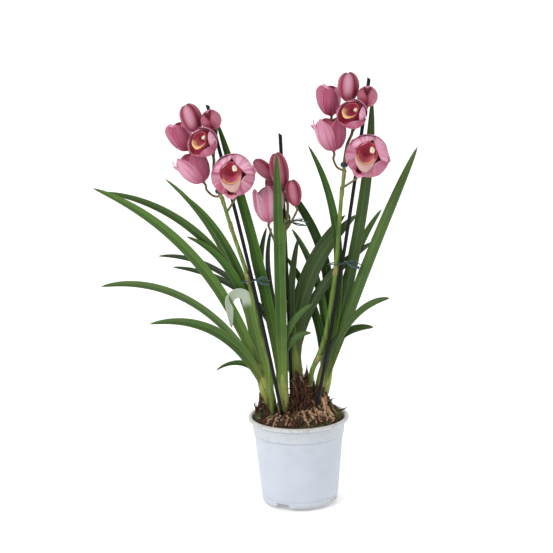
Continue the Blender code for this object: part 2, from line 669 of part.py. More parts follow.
def make_spike(side, path, blooms):
    """A stem with the stalks of its blooms, and the blooms themselves."""
    spine = stem_spine(side)
    stalks = []
    for name, foot, aim, form, height, radius, leaves_at in blooms:
        foot = turned(foot, side)
        turn = spike_turn(side) @ frame_along(aim)
        aim = turn[:, 2]
        end = foot - aim * (0.0004 + GAP)
        if form == "bud":
            end = foot - aim * GAP
        start = spine[leaves_at]
        reach = np.linalg.norm(end - start)
        bend = end - aim * min(PEDICEL_BEND[0], PEDICEL_BEND[1] * reach)
        middle = [start + 0.35 * (bend - start) - np.array([0, 0, PEDICEL_SAG * reach])]
        if side != "centre" and name in STALK_ROUTES:
            middle = [turned(place, side) for place in STALK_ROUTES[name]]
        if name == "back_bud":
            middle = [np.array(place) for place in BACK_STALK]
        line = [start, *middle, bend, end]
        radii = [PEDICEL_RADIUS] * (len(line) - 1) + [PEDICEL_RADIUS * PEDICEL_END]
        stalks.append(tube("stalk", line, radii, 0))
        label = side + "_" + name
        if form == "bud":
            make_bud(label, foot, turn, height, radius)
            continue
        make_open_bloom(label, foot, turn, form, height, radius)
        if form == "cup":
            make_lip(label + "_lip", foot, turn, height, radius)
            make_column(label + "_column", foot, turn, height)
    stem = tube("spike_" + side, spine, [row[3] for row in path])
    return finish(boolean(stem, stalks, "UNION"), "stem")


def stake_path(side):
    """The stake's slightly bowed axis."""
    foot, top, bow = STAKES[side]
    share = np.linspace(0, 1, STAKE_STEPS + 1)[:, None]
    line = np.array(foot) * (1 - share) + np.array(top) * share
    line[:, 0] += bow * np.sin(np.pi * share[:, 0])
    return line


def make_stake(side):
    """A thin rod with a slanting cut at its top."""
    line = stake_path(side)
    end = line[-1]
    line[-1] = end + (line[-1] - line[-2]) / np.linalg.norm(line[-1] - line[-2]) * CUT_BLOCK / 3
    rod = tube("stake_" + side, line, [STAKE_RADIUS] * len(line))
    block = new_object("cut", *box_mesh((CUT_BLOCK, CUT_BLOCK, CUT_BLOCK)))
    slant = Matrix.Rotation(math.radians(STAKE_CUT_DEGREES), 4, "Y")
    block.matrix_world = Matrix.Translation(end) @ slant @ Matrix.Translation((0, 0, CUT_BLOCK / 2))
    return finish(boolean(rod, [baked(block)], "DIFFERENCE"), "stake")


def box_mesh(size):
    """Corner points and outward faces of a box about its middle."""
    x, y, z = (side / 2 for side in size)
    points = [(i, j, k) for i in (-x, x) for j in (-y, y) for k in (-z, z)]
    faces = [(0, 1, 3, 2), (4, 6, 7, 5), (0, 4, 5, 1), (2, 3, 7, 6), (0, 2, 6, 4), (1, 5, 7, 3)]
    return points, faces


def make_tie(side):
    """A twist tie: a loop round stem and stake whose two ends stand out to the right."""
    (x, y, z), half_x, half_y, prong = TIES[side]
    angles = np.radians(np.linspace(TIE_OPENING, 360 - TIE_OPENING, TIE_STEPS + 1))
    level = z + TIE_TILT * np.cos(angles)
    loop = np.stack([x + half_x * np.cos(angles), y + half_y * np.sin(angles), level], 1)
    prong = np.array(prong)
    first = loop[0] + prong * TIE_PRONG[0] + np.array([0, 0, TIE_PRONG[1]])
    last = loop[-1] + prong
    path = np.vstack([first, loop[0] + TIE_BEND, loop[1:-1], loop[-1] + TIE_BEND, last])
    return finish(tube("tie_" + side, path, [TIE_RADIUS] * len(path), 0), "tie")


def make_clip(side):
    """A short dark sleeve round the stem."""
    path = turned(np.array(SPIKE_PATH)[:, :3], side)
    place = CLIP_PLACES[side]
    along = path[place + 1] - path[place]
    along /= np.linalg.norm(along)
    middle = path[place] + along * CLIP_DISTANCE
    inner = (SPIKE_PATH[place][3] + CLIP_CLEARANCE) * 1.06
    outer = inner + CLIP_WALL
    half = along * CLIP_HEIGHT / 2
    sleeve = tube("clip_" + side, [middle - half, middle + half], [outer] * 2)
    bore = tube("bore", [middle - half * 2, middle + half * 2], [inner] * 2)
    return finish(boolean(sleeve, [bore], "DIFFERENCE"), "tie")


def screw(name, profile, steps):
    """Turns a profile in the XZ plane about +Z."""
    mesh = bpy.data.meshes.new(name)
    edges = [(i, i + 1) for i in range(len(profile) - 1)]
    mesh.from_pydata([(r, 0.0, z) for r, z in profile], edges, [])
    obj = bpy.data.objects.new(name, mesh)
    cutters.objects.link(obj)
    turn = obj.modifiers.new("turn", "SCREW")
    turn.steps = steps
    turn.render_steps = steps
    turn.use_merge_vertices = True
    turn.merge_threshold = 0.00005
    return baked(obj)


def pot_inner_radius(z):
    """Inner radius of the pot's wall at a height."""
    heights = (FOOT_HEIGHT + FLOOR, COLLAR_BOTTOM, RIM_TOP - 0.005)
    return np.interp(z, heights, (BASE_RADIUS - WALL, WALL_RADIUS_TOP - WALL, COLLAR_RADIUS - WALL))


def make_pot():
    """Tapering wall with a collar and rolled rim; the floor stands on a foot ring cut by four channels."""
    roll = [
        (RIM_RADIUS - RIM_ROLL + RIM_ROLL * math.sin(a), RIM_TOP - RIM_ROLL + RIM_ROLL * math.cos(a))
        for a in np.radians((-60, 0, 60, 115, 170))
    ]
    top_inner = COLLAR_RADIUS - WALL
    outer = [
        (COLLAR_RADIUS, RIM_TOP - 0.0052),
        (COLLAR_LOW_RADIUS, COLLAR_BOTTOM),
        (WALL_RADIUS_TOP, COLLAR_BOTTOM - 0.0009),
        (BASE_RADIUS + 0.0004, 0.0016),
        (BASE_RADIUS - 0.0010, 0.0),
        (BASE_RADIUS - FOOT_WIDTH, 0.0),
        (BASE_RADIUS - FOOT_WIDTH - 0.0015, FOOT_HEIGHT),
        (FOOT_DISC_RADIUS + 0.0015, FOOT_HEIGHT),
        (FOOT_DISC_RADIUS, 0.0),
        (0.0, 0.0),
    ]
    inner_floor = FOOT_HEIGHT + FLOOR
    inside = [
        (0.0, inner_floor),
        (BASE_RADIUS - WALL - 0.0012, inner_floor),
        (BASE_RADIUS - WALL + 0.0001, inner_floor + 0.0014),
        (WALL_RADIUS_TOP - WALL, COLLAR_BOTTOM),
        (top_inner, RIM_TOP - 0.005),
    ]
    profile = roll + outer + inside
    profile.append(roll[0])
    pot = screw("pot", profile, POT_STEPS)
    cuts = []
    for azimuth in CHANNEL_AZIMUTHS:
        angle = math.radians(azimuth)
        block = new_object("channel", *box_mesh((CHANNEL_REACH * 2, CHANNEL_WIDTH, CHANNEL_HEIGHT * 2)))
        block.matrix_world = Matrix.Rotation(angle, 4, "Z") @ Matrix.Translation((BASE_RADIUS + 0.0015, 0, 0))
        cuts.append(baked(block))
        middle = Vector((DRAIN_CENTRE * math.cos(angle), DRAIN_CENTRE * math.sin(angle), 0))
        low, high = middle - Vector((0, 0, DRAIN_RADIUS)), middle + Vector((0, 0, FOOT_HEIGHT + 2 * FLOOR))
        cuts.append(tube("drain", [low, high], [DRAIN_RADIUS] * 2))
    return finish(boolean(pot, cuts, "DIFFERENCE"), "pot")


def mix_height(x, y):
    """Height of the bark surface: a low dome with three heaps."""
    spread = np.clip(1 - (x * x + y * y) / 0.053**2, 0, 1)
    height = MIX_EDGE + MIX_DOME * spread**0.8
    for heap_x, heap_y, rise, wide, deep in MIX_HEAPS:
        height = height + rise * np.exp(-(((x - heap_x) / wide) ** 2) - ((y - heap_y) / deep) ** 2) * spread**0.35
    return height


def make_scraps():
    """Ragged dry sheath points: thin bent cones."""
    made = []
    for x0, y0, z0, x1, y1, z1, radius in SCRAPS:
        foot, tip = Vector((x0, y0, z0)), Vector((x1, y1, z1))
        middle = foot.lerp(tip, 0.55) + Vector((0.0008, 0.0010, 0))
        low = foot - (tip - foot).normalized() * 0.006
        made.append(tube("scrap", [low, foot, middle, tip], [radius, radius, radius * 0.55, 0.0003], 1))
    return made


def stand_cutters():
    """Plain holes for everything that stands in the mix."""
    made = []
    for shoot, (x, y, z, lean, radius) in SHOOTS.items():
        slope = math.tan(math.radians(lean))
        low = Vector((x - slope * BULB_FOOT * 1.2, y, z - BULB_FOOT * 1.02 - GAP))
        high = Vector((x + slope * 0.030, y, z + 0.030))
        made.append(tube("hole", [low, high], [radius * 1.10 + GAP] * 2))
    for side in STAKES:
        line = stake_path(side)
        along = line[1] - line[0]
        along = along / np.linalg.norm(along)
        made.append(tube("hole", [line[0] - along * GAP, line[0] + along * HOLE_REACH], [STAKE_RADIUS + GAP] * 2))
    for path, side in ((SPIKE_PATH, "left"), (SPIKE_PATH, "right"), (CENTRE_PATH, "centre")):
        line = stem_spine(side)
        along = line[1] - line[0]
        start = line[0] - along / np.linalg.norm(along) * GAP * 1.5
        made.append(tube("hole", [start, line[0], line[1]], [path[0][3] + GAP] * 3))
    return made


def laid(x, y, sink):
    """A point on the bark surface, sunk by the given depth."""
    return Vector((x, y, float(mix_height(np.float64(x), np.float64(y))) - sink))


def root_paths():
    """Plan paths of the bare roots: they run down off the heap to the rim, and one buried root ties them together."""
    random.seed(11)
    paths = []
    for x0, y0, x1, y1, radius in ROOTS:
        points = []
        sway = random.uniform(-ROOT_SWAY, ROOT_SWAY)
        for step in range(ROOT_POINTS):
            share = step / (ROOT_POINTS - 1)
            x = x0 + (x1 - x0) * share + sway * math.sin(share * 5.0)
            y = y0 + (y1 - y0) * share + sway * math.sin(share * 4.0 + 1.0)
            sink = ROOT_END_SINK if step == ROOT_POINTS - 1 else random.uniform(-0.0006, 0.0004)
            points.append(laid(x, y, sink))
        paths.append((points, radius))
    binder = [laid(x, y, ROOT_BINDER_SINK) for x, y in ROOT_BINDER]
    paths.insert(0, (binder, ROOT_BINDER_RADIUS))
    return paths


def make_roots():
    """The bare tan roots, joined at their knot."""
    paths = root_paths()
    rods = []
    for points, radius in paths:
        rods.append(tube("root", points, [radius * share for share, _ in zip(ROOT_TAPER, points)], 0))
    beds = [tube("bed", points, [r + GAP * 1.8] * len(points), 0) for points, r in paths]
    first = rods.pop(0)
    first.name = "roots"
    return finish(boolean(first, rods, "UNION"), "root"), beds


def make_mix(beds):
    """The plug of bark mix: its side follows the pot's wall, its top is heaped and rough."""
    random.seed(5)
    edge = float(pot_inner_radius(MIX_EDGE)) - MIX_SIDE_GAP
    angles = np.linspace(0, 2 * math.pi, MIX_SPOKES, endpoint=False)
    rings = []
    floor = FOOT_HEIGHT + FLOOR
    for height in (floor + GAP, floor + 0.003, COLLAR_BOTTOM, MIX_EDGE - 0.004):
        radius = float(pot_inner_radius(height)) - MIX_SIDE_GAP
        if height < floor + 0.001:
            radius -= 0.0018
        level = np.full(MIX_SPOKES, height)
        rings.append(np.stack([radius * np.cos(angles), radius * np.sin(angles), level], 1))
    for ring in range(MIX_RINGS):
        radius = edge * (1 - ring / MIX_RINGS)
        x, y = radius * np.cos(angles), radius * np.sin(angles)
        relief = np.array([random.uniform(-1, 1) for _ in angles]) * MIX_RELIEF * min(1.0, ring / 2)
        rings.append(np.stack([x, y, mix_height(x, y) + relief], 1))
    plug = closed_round("potting_mix", np.array(rings))
    plug = boolean(plug, make_scraps(), "UNION")
    return finish(boolean(plug, stand_cutters() + beds, "DIFFERENCE"), "mix", smooth=False)


make_pot()
roots, root_beds = make_roots()
make_mix(root_beds)
for shoot_name, shoot_slot in (("left", "leaf"), ("front", "leaf"), ("back", "dark_leaf"), ("right", "leaf")):
    make_shoot(shoot_name, shoot_slot)
for stake_side in STAKES:
    make_stake(stake_side)
for spike_side in ("left", "right"):
    make_spike(spike_side, SPIKE_PATH, SPIKE_BLOOMS)
make_spike("centre", CENTRE_PATH, CENTRE_BLOOMS)
for tie_side in TIES:
    make_tie(tie_side)
for clip_side in CLIP_PLACES:
    make_clip(clip_side)
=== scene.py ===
"""Looks of the potted boat orchid: leaves, spikes, blooms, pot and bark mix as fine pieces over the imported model."""

from math import cos, hypot, pi, radians, sin, tan

import bpy
import numpy as np
from mathutils import Matrix, Vector


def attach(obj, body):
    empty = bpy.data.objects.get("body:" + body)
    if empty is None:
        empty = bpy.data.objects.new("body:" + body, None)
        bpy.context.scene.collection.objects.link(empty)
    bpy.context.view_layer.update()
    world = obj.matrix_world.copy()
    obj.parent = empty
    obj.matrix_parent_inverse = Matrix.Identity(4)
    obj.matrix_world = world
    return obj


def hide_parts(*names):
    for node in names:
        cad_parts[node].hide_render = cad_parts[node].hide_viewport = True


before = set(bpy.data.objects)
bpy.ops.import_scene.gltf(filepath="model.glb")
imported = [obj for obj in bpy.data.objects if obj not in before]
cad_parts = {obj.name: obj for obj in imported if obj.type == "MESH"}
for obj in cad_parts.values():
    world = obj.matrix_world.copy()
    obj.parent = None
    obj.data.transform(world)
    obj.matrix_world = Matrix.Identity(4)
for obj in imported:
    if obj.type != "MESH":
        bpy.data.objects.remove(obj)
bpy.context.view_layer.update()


def mm(*rows):
    """Rows given in millimetres, as metres."""
    return np.array(rows) / 1000


# Pot
RIM_RADIUS = 0.06
RIM_TOP = 0.1025
RIM_ROLL = 0.0025
COLLAR_RADIUS = 0.0554
COLLAR_LOW_RADIUS = 0.0541
COLLAR_BOTTOM = 0.082
WALL_RADIUS_TOP = 0.0531
BASE_RADIUS = 0.045
WALL = 0.0014
FLOOR = 0.0016
FOOT_HEIGHT = 0.0054
FOOT_WIDTH = 0.0026
FOOT_DISC_RADIUS = 0.0165
CHANNEL_AZIMUTHS = (242.0, 332.0, 62.0, 152.0)
CHANNEL_WIDTH = 0.017
CHANNEL_HEIGHT = 0.005

# Mix: its heaps are x, y, height, spread along x, spread along y
MIX_RADIUS = 0.053
MIX_EDGE = 0.0985
MIX_DOME = 0.0095
MIX_HEAPS = mm(
    (5, 25, 38, 13, 12),
    (26, 6, 31, 16, 16),
    (-41, 6, 17, 9, 12),
)
# Bare roots in millimetres: start x, y, end x, y, radius
ROOTS = mm(
    (-33, -20, -38, -34, 1.5),
    (-25, -23, -31, -41, 1.7),
    (-12, -18, -15, -46, 1.4),
    (-1, -4, -3, -35, 1.8),
    (4, 0, 10, -47, 2.0),
    (10, -12, 23, -43, 2.1),
    (16, -18, 31, -37, 1.6),
    (28, -4, 35, -32, 2.3),
    (30, 0, 43, -22, 1.8),
    (36, -1, 48, -9, 1.6),
)
# Dry sheath scraps in millimetres: foot x, y, z, tip x, y, z, foot radius
SCRAPS = mm(
    (10, 18, 136, 11.5, 12, 162.5, 4.2),
    (-45, 4, 112, -45.5, -4, 134, 3.8),
    (4, 13, 122, 4.5, 8, 145, 3.6),
    (12.5, -4, 118, 13.5, -5, 147.5, 4.5),
    (17.5, 16, 126, 18.5, 14, 151, 3.4),
    (-49, 0, 106, -53, -3, 121, 3.0),
    (44, 8, 103, 59, 0, 110.5, 2.0),
    (-36, -12, 104, -36.5, -17, 120, 3.0),
    (24, -6, 108, 26.5, -12, 121.5, 3.0),
)

# Shoots: foot x, y, z, lean to +x in degrees, radius of the swollen foot
SHOOTS = {
    "left": (-0.036, 0.006, 0.125, -13.0, 0.0072),
    "front": (-0.018, -0.006, 0.118, 0.0, 0.0056),
    "back": (-0.001, 0.02, 0.135, 0.0, 0.0062),
    "right": (0.0295, 0.016, 0.131, 11.0, 0.0078),
}
BULB_LENGTH = 0.062
BULB_FLATNESS = 0.8
BULB_RINGS = (-0.32, -0.1, 0.1, 0.3, 0.55, 0.8, 1.0)
BULB_SWELL = (0.55, 0.95, 1.0, 0.92, 0.7, 0.48, 0.22)

# Sheaths of each bulb: start height, height, swell, middle azimuth, half angle
SHEATHS = (
    (-0.018, 0.046, 1.02, 270, 120),
    (-0.012, 0.06, 1.1, 160, 95),
    (-0.01, 0.066, 1.14, 20, 95),
    (-0.004, 0.078, 1.06, 250, 70),
)

# Leaves of each shoot: azimuth, length, width, lean at foot and at tip, bend power, facing, offset in y, turn, paleness
LEAVES = {
    "left": (
        (192, 0.338, 0.014, 16.8, 66.7, 1.45, 66, 0.0, 0, 0.55),
        (188, 0.346, 0.0125, 2.5, 82.8, 1.33, 60, 0.002, 0, 0.45),
        (165, 0.265, 0.0135, 21.8, 104.6, 1.24, 62, 0.0, 0, 0.5),
        (216, 0.21, 0.013, 21.0, 92.3, 1.12, 60, 0.0, 0, 0.35),
        (205, 0.093, 0.0095, 4.8, 122.7, 1.18, 55, 0.0, 0, 0.0),
        (159, 0.293, 0.012, 11.5, 56.3, 2.08, 68, 0.001, 0, 0.4),
        (179, 0.276, 0.0115, 7.1, 54.1, 2.14, 64, 0.002, 0, 0.2),
        (190, 0.228, 0.0115, 8.2, 68.1, 2.56, 64, 0.001, 0, 0.0),
    ),
    "front": (
        (168, 0.344, 0.014, 1.0, 17.5, 0.5, 78, 0.002, 0, 0.05),
        (264, 0.303, 0.013, 3.2, 3.6, 1.0, 0, -0.002, 0, 0.22),
        (348, 0.108, 0.011, -8.0, 91.0, 2.2, 66, 0.0, 0, 0.0),
        (350, 0.137, 0.01, -8.0, 60.0, 1.7, 66, -0.001, 0, 0.0),
    ),
    "back": (
        (160, 0.25, 0.0115, 18.2, 97.3, 1.46, 60, 0.004, 0, 0.1),
        (171, 0.222, 0.011, 5.2, 86.8, 0.98, 62, 0.004, 0, 0.0),
        (0, 0.18, 0.01, -6.0, 14.0, 1.6, 70, 0.001, 0, 0.0),
        (148, 0.193, 0.011, 19.1, -20.0, 3.0, 70, 0.003, 0, 0.0),
        (144, 0.215, 0.012, 27.4, 0.5, 2.08, 66, 0.003, 0, 0.0),
        (164, 0.198, 0.011, 26.3, -20.0, 1.83, 68, 0.002, 0, 0.0),
        (355, 0.227, 0.0165, -2.2, 50.5, 1.39, 74, -0.001, 0, 0.0),
        (4, 0.221, 0.0135, -9.0, 46.0, 1.14, 78, 0.001, 0, 0.0),
        (0, 0.207, 0.0125, -9.5, 60.1, 0.84, 78, -0.002, 0, 0.0),
    ),
    "right": (
        (222, 0.298, 0.0125, -12.0, 63.0, 1.66, 80, 0.006, -84, 0.0),
        (140, 0.2, 0.0145, -12.0, 44.0, 1.25, 80, 0.008, 0, 0.0),
        (152, 0.168, 0.0135, -12.5, 39.5, 0.8, 78, 0.003, 0, 0.0),
        (347, 0.313, 0.0145, 18.8, 25.0, 1.24, 70, -0.003, 0, 0.25),
        (4, 0.352, 0.014, 14.7, 0.8, 2.12, 76, -0.004, 0, 0.0),
        (170, 0.299, 0.011, -12.0, 30.0, 1.9, 82, -0.005, 0, 0.0),
        (318, 0.169, 0.012, 18.5, 78.0, 1.8, 62, -0.002, 0, 0.25),
        (336, 0.118, 0.012, -5.0, 93.0, 1.2, 60, -0.003, 0, 0.0),
        (25, 0.227, 0.011, 12.0, 43.0, 2.2, 70, 0.003, 0, 0.0),
    ),
}
# The folded leaf of the left shoot: azimuth, length, width, lean at foot and tip, start and end of the fold, facing
FOLD_LEAF = (189, 0.184, 0.015, 11.0, 184.0, 0.66, 0.84, 72)
FOLD_OFFSET = (0.0017, -0.004)
LEAF_THICKNESS = 0.0009
SHEATH_THICKNESS = 0.0006
LEAF_LEAST_HALF = 0.00025
# Share of a blade's thickness that is left at its edge
SHELL_EDGE = 0.45
LEAF_KEEL = 0.1
LEAF_ROWS = 56
LEAF_COLUMNS = 9
LEAF_FOOT_WIDTH = 0.55
LEAF_FULL_WIDTH_AT = 0.28
LEAF_TIP_POWERS = (5, 0.6)

# Stakes: foot, top, sideways bow
STAKE_RADIUS = 0.0021
STAKE_CUT_DEGREES = 35.0
STAKES = {
    "left": ((-0.019, -0.0185, 0.106), (-0.098, 0.007, 0.473), 0.003),
    "centre": ((-0.0075, 0.0095, 0.108), (-0.015, 0.0135, 0.437), 0.0008),
    "right": ((0.0205, -0.01, 0.106), (0.088, 0.006, 0.5), 0.003),
}

# Spikes: rachis in millimetres as x, y, z, radius
SPIKE_PATH = mm(
    (13, 4, 116, 3.1),
    (16.5, 3, 152, 3.1),
    (24, 2, 171, 3.1),
    (33, 2, 195, 3.0),
    (38.5, 1.5, 222, 2.9),
    (44, 1, 257, 2.8),
    (49.2, 0.5, 302, 2.5),
    (53.5, 1, 354, 2.3),
    (56, 1, 374.5, 2.2),
    (57, 1, 383, 2.1),
    (57.8, 1.2, 394.5, 2.0),
    (58.5, 1.5, 405, 2.0),
    (62, 3.5, 424, 1.8),
    (68, 6, 438, 1.7),
    (68.5, 7, 452, 1.6),
    (65.5, 4, 464, 1.5),
)
LEFT_TURN = -22.5
LEFT_SHIFT = (0.0125, -0.0042, -0.0185)
# The left stem stands clear of its stake about a height, over a reach, by x and y
CLEAR_HEIGHT, CLEAR_REACH, CLEAR_SHIFT = 0.205, 0.05, (0.0052, 0.003)
LEFT_FOOT = ((-0.0315, -0.006, 0.104), (-0.0312, -0.0055, 0.132))
CENTRE_PATH = mm(
    (-14, 3.5, 120, 2.6),
    (-14.2, 3.5, 194, 2.5),
    (-14.2, 3.5, 242, 2.4),
    (-13.5, 3.5, 289, 2.2),
    (-11.5, 3.5, 325, 1.9),
    (-8.5, 2.5, 345, 1.7),
    (-8, 0.5, 358, 1.6),
    (-10.5, -1, 367, 1.5),
)
# Blooms: name, foot, aim, form, height, radius, point of the rachis where its stalk starts
SPIKE_BLOOMS = (
    ("top_bud", (0.064, 0.0, 0.4735), (0.0, 0.0, 1.0), "bud", 0.035, 0.0125, 15),
    ("side_bud", (0.0857, -0.0025, 0.4728), (-0.06, -0.78, 0.62), "bud", 0.025, 0.0118, 13),
    ("half_open", (0.045, 0.019, 0.4555), (-0.12, 0.0, 1.0), "half", 0.036, 0.0146, 15),
    ("front", (0.0695, -0.0129, 0.4532), (-0.16, -0.8, 0.58), "cup", 0.023, 0.0173, 14),
    ("low_side", (0.0465, 0.002, 0.4165), (-0.12, 0.02, 1.0), "half", 0.0385, 0.0182, 10),
    ("low_front", (0.0828, -0.0135, 0.4086), (0.03, -0.93, 0.34), "cup", 0.027, 0.0248, 8),
)
CENTRE_BLOOMS = (
    ("left_bud", (-0.022, 0.011, 0.384), (-0.7, 0.0, 0.71), "bud", 0.034, 0.0085, 6),
    ("top_bud", (-0.013, -0.002, 0.374), (-0.17, 0.0, 0.98), "bud", 0.045, 0.011, 7),
    ("right_bud", (0.0015, -0.012, 0.356), (-0.16, 0.0, 0.98), "bud", 0.032, 0.0094, 4),
    ("half_open", (-0.03, -0.0015, 0.335), (0.0, 0.02, 1.0), "half", 0.042, 0.018, 3),
    ("back_bud", (-0.024, 0.027, 0.361), (-0.22, 0.0, 0.97), "bud", 0.026, 0.0066, 4),
)
BACK_STALK = ((-0.006, 0.011, 0.338), (-0.0105, 0.019, 0.345))
# Bracts: share of the stem's length from its foot, side it points to, length, paleness
BRACTS = {
    "left": ((0.38, -1, 0.013, 0.9), (0.47, 1, 0.01, 0.5), (0.6, 1, 0.011, 0.6), (0.66, 1, 0.01, 0.7)),
    "centre": ((0.25, 1, 0.012, 0.6), (0.6, -1, 0.01, 0.6)),
    "right": ((0.12, 1, 0.012, 0.6), (0.36, 1, 0.013, 0.9), (0.5, -1, 0.01, 0.5), (0.62, 1, 0.011, 0.7)),
}
PEDICEL_RADIUS = 0.0013
PEDICEL_END = 1.15
PEDICEL_BEND = (0.005, 0.15)
PEDICEL_SAG = 0.05
# Points that a stalk passes on its way, in the right spike's frame
STALK_ROUTES = {
    "low_side": ((0.05, 0.0015, 0.3985), (0.0458, 0.0018, 0.408)),
    "low_front": ((0.0745, -0.004, 0.3885),),
    "side_bud": ((0.0755, -0.0035, 0.451), (0.0835, -0.002, 0.464)),
}
# Open blooms: each petal or sepal as azimuth, share of the radius, half width as a share of the radius, where its
# shoulder and its tip lie as shares of radius and height, edge tilt, flare of the tip's edges, brightness (how pale it
# is, partly its own paler colour and partly painted light)
CUP_TEPALS = (
    (90.0, 1.0, 0.9, (1.0, 0.82), (0.88, 1.0), 0.0, 0.0, 0.3),
    (208.0, 1.0, 1.05, (1.0, 0.8), (0.84, 0.94), 0.05, 0.0, 0.04),
    (322.0, 0.98, 1.08, (1.0, 0.8), (0.8, 0.95), 0.05, 0.02, 0.06),
    (30.0, 0.86, 0.84, (0.9, 0.86), (0.66, 0.98), 0.04, 0.03, 1.0),
    (145.0, 0.92, 0.8, (0.93, 0.86), (0.76, 1.0), 0.04, 0.02, 0.6),
)
NOD_TEPALS = (
    (90.0, 1.0, 0.9, (1.0, 0.74), (0.96, 0.84), 0.0, 0.0, 0.35),
    (196.0, 1.0, 1.22, (0.9, 0.84), (0.52, 0.94), -0.05, -0.06, 0.02),
    (312.0, 0.98, 1.28, (0.9, 0.84), (0.5, 0.92), 0.05, -0.04, 0.12),
    (36.0, 0.97, 1.18, (0.84, 0.9), (0.46, 0.96), 0.06, 0.0, 0.8),
    (128.0, 0.95, 1.14, (0.84, 0.9), (0.54, 0.97), -0.04, 0.0, 0.98),
)
GOBLET_TEPALS = (
    (47.0, 1.0, 0.9, (0.99, 0.84), (0.9, 1.02), 0.03, -0.08, 0.56),
    (136.0, 0.98, 0.96, (0.99, 0.84), (0.9, 1.0), -0.02, -0.06, 0.06),
    (285.0, 0.96, 1.15, (0.94, 0.86), (0.8, 0.96), 0.04, 0.0, 0.1),
    (10.0, 0.99, 0.56, (1.05, 0.8), (1.05, 1.0), 0.0, 0.04, 0.98),
    (342.0, 0.98, 0.56, (1.06, 0.7), (1.24, 0.84), 0.0, 0.1, 0.85),
)
TULIP_TEPALS = (
    (98.0, 1.0, 0.78, (0.9, 0.8), (0.56, 0.94), -0.06, -0.04, 0.0),
    (36.0, 0.97, 1.02, (0.9, 0.88), (0.6, 1.01), -0.05, -0.03, 0.08),
    (262.0, 0.95, 1.05, (0.86, 0.86), (0.44, 0.92), -0.04, 0.0, 0.2),
    (160.0, 0.93, 0.8, (0.9, 0.78), (0.72, 0.88), -0.02, 0.06, 0.72),
    (60.0, 0.84, 0.7, (0.86, 0.86), (0.6, 1.03), 0.0, 0.06, 0.95),
)
STRIPED_TEPALS = (
    (82.0, 1.0, 0.84, (0.86, 0.86), (0.34, 1.02), 0.07, -0.03, 0.42),
    (20.0, 0.99, 0.9, (1.0, 0.82), (0.86, 0.92), -0.03, 0.06, 0.85),
    (152.0, 0.98, 0.98, (0.92, 0.84), (0.55, 0.96), 0.05, 0.0, 0.2),
    (270.0, 0.95, 1.0, (0.88, 0.84), (0.52, 0.96), 0.03, 0.0, 0.25),
    (220.0, 0.88, 0.7, (0.84, 0.84), (0.5, 0.98), 0.0, 0.03, 0.8),
)
# Pattern, roll about the aim in degrees, length of the lip's front lobe as a share of the radius, how pointed the tips,
# strength of the stripes
OPEN_BLOOMS = {
    "front": (CUP_TEPALS, -38.0, 0.2, 0.5, 0.0),
    "low_front": (NOD_TEPALS, -15.0, 0.44, 0.38, 0.35),
    "low_side": (GOBLET_TEPALS, 0.0, 0.0, 0.85, 0.0),
    "half_open": (TULIP_TEPALS, 0.0, 0.0, 0.62, 0.0),
    "centre_half_open": (STRIPED_TEPALS, 0.0, 0.0, 0.7, 0.85),
}
TEPAL_FOOT = ((0.08, 0.0), (0.5, 0.07), (0.88, 0.32), (1.0, 0.6))
TEPAL_THICKNESS = 0.0007
BRACT_THICKNESS = 0.0004
TEPAL_LIFT = 0.0016
# Rows and columns of points
TEPAL_GRID, BUD_GRID, LIP_ROWS = (36, 21), (56, 120), (30, 18)
STEM_POINTS, STALK_POINTS, POT_SIDES = 130, 30, 288
BULB_SIDES, STEM_SIDES, STALK_SIDES, STAKE_SIDES, CLIP_SIDES = 32, 24, 14, 28, 32
# Seeds of the random draws
SHOOT_SEED, MIX_SEED = 3, 7
SPIKE_SEEDS = {"left": 21, "right": 23, "centre": 22}
# Knob under an open bloom: share of its length, share of its radius
KNOB = ((0.0, 0.35), (0.3, 0.9), (0.7, 1.15), (1.0, 0.5))
KNOB_LENGTH, KNOB_RADIUS = 0.0042, 0.0026
# Seams between the three sepals of a bud, as azimuths
BUD_SEAMS = (44.0, 123.0, 262.0)
# Profiles of closed and of gaping buds, as shares of height and radius
BUD_HEIGHTS = (0.0, 0.08, 0.24, 0.48, 0.7, 0.86, 0.95, 0.99, 0.99, 0.975)
BUD_SWELL = (0.14, 0.48, 0.82, 1.0, 0.95, 0.74, 0.48, 0.25, 0.11, 0.02)
GAPING_HEIGHTS = (0.0, 0.08, 0.24, 0.48, 0.7, 0.86, 0.95, 0.99, 0.94, 0.78)
GAPING_SWELL = (0.14, 0.48, 0.82, 1.0, 0.95, 0.76, 0.52, 0.36, 0.26, 0.02)
# How much lower the tip of each sepal is, and how much painted shade it gets, laid on as extra brownness
SEPAL_LOWER = (0.035, 0.0, 0.02)
SEPAL_PAINTED_SHADE = (0.0, 0.75, 0.35)
# Lip: its bowl's outline and its shift aside and up, as shares of the radius and height, and its angles
LIP_BOWL = ((0.02, 0.44), (0.18, 0.45), (0.32, 0.56), (0.39, 0.76), (0.44, 0.94), (0.5, 1.02))
LIP_SHIFT = (-0.08, 0.02)
LIP_TONGUE_ANGLE = 0.62
LIP_TONGUE_SPAN = 178.0 / 57.3
LIP_HALF_ANGLE = 181.0
# Column: sideways, up and out, and its radius, as shares of the bloom's size
COLUMN_RUN = (
    (0.02, 0.3, 0.3, 0.085),
    (0.06, 0.4, 0.56, 0.09),
    (0.1, 0.38, 0.78, 0.1),
    (0.13, 0.3, 0.94, 0.125),
    (0.15, 0.19, 1.02, 0.135),
    (0.16, 0.11, 1.02, 0.09),
)
# What is strewn over the bark: how far from the axis, and how many of each
STREW_RADIUS = 0.0515
SCRAP_THICKNESS, FIBRE_THICKNESS = 0.0005, 0.0004
CHIPS, FIBRES, THIN_ROOTS = 1150, 420, 46
# Crown of ragged fibres: middle x and y, height over the bark, radius
FIBRE_CROWN = (0.002, -0.003, 0.038, 0.015)
# Loose twigs in millimetres: start, end, radius
TWIGS = mm(
    (-33, -6, 112, -47, -2, 124, 0.9),
    (27, -8, 115, 43, -4, 123, 0.8),
    (43, -12, 106, 54, -14, 107.5, 0.8),
)
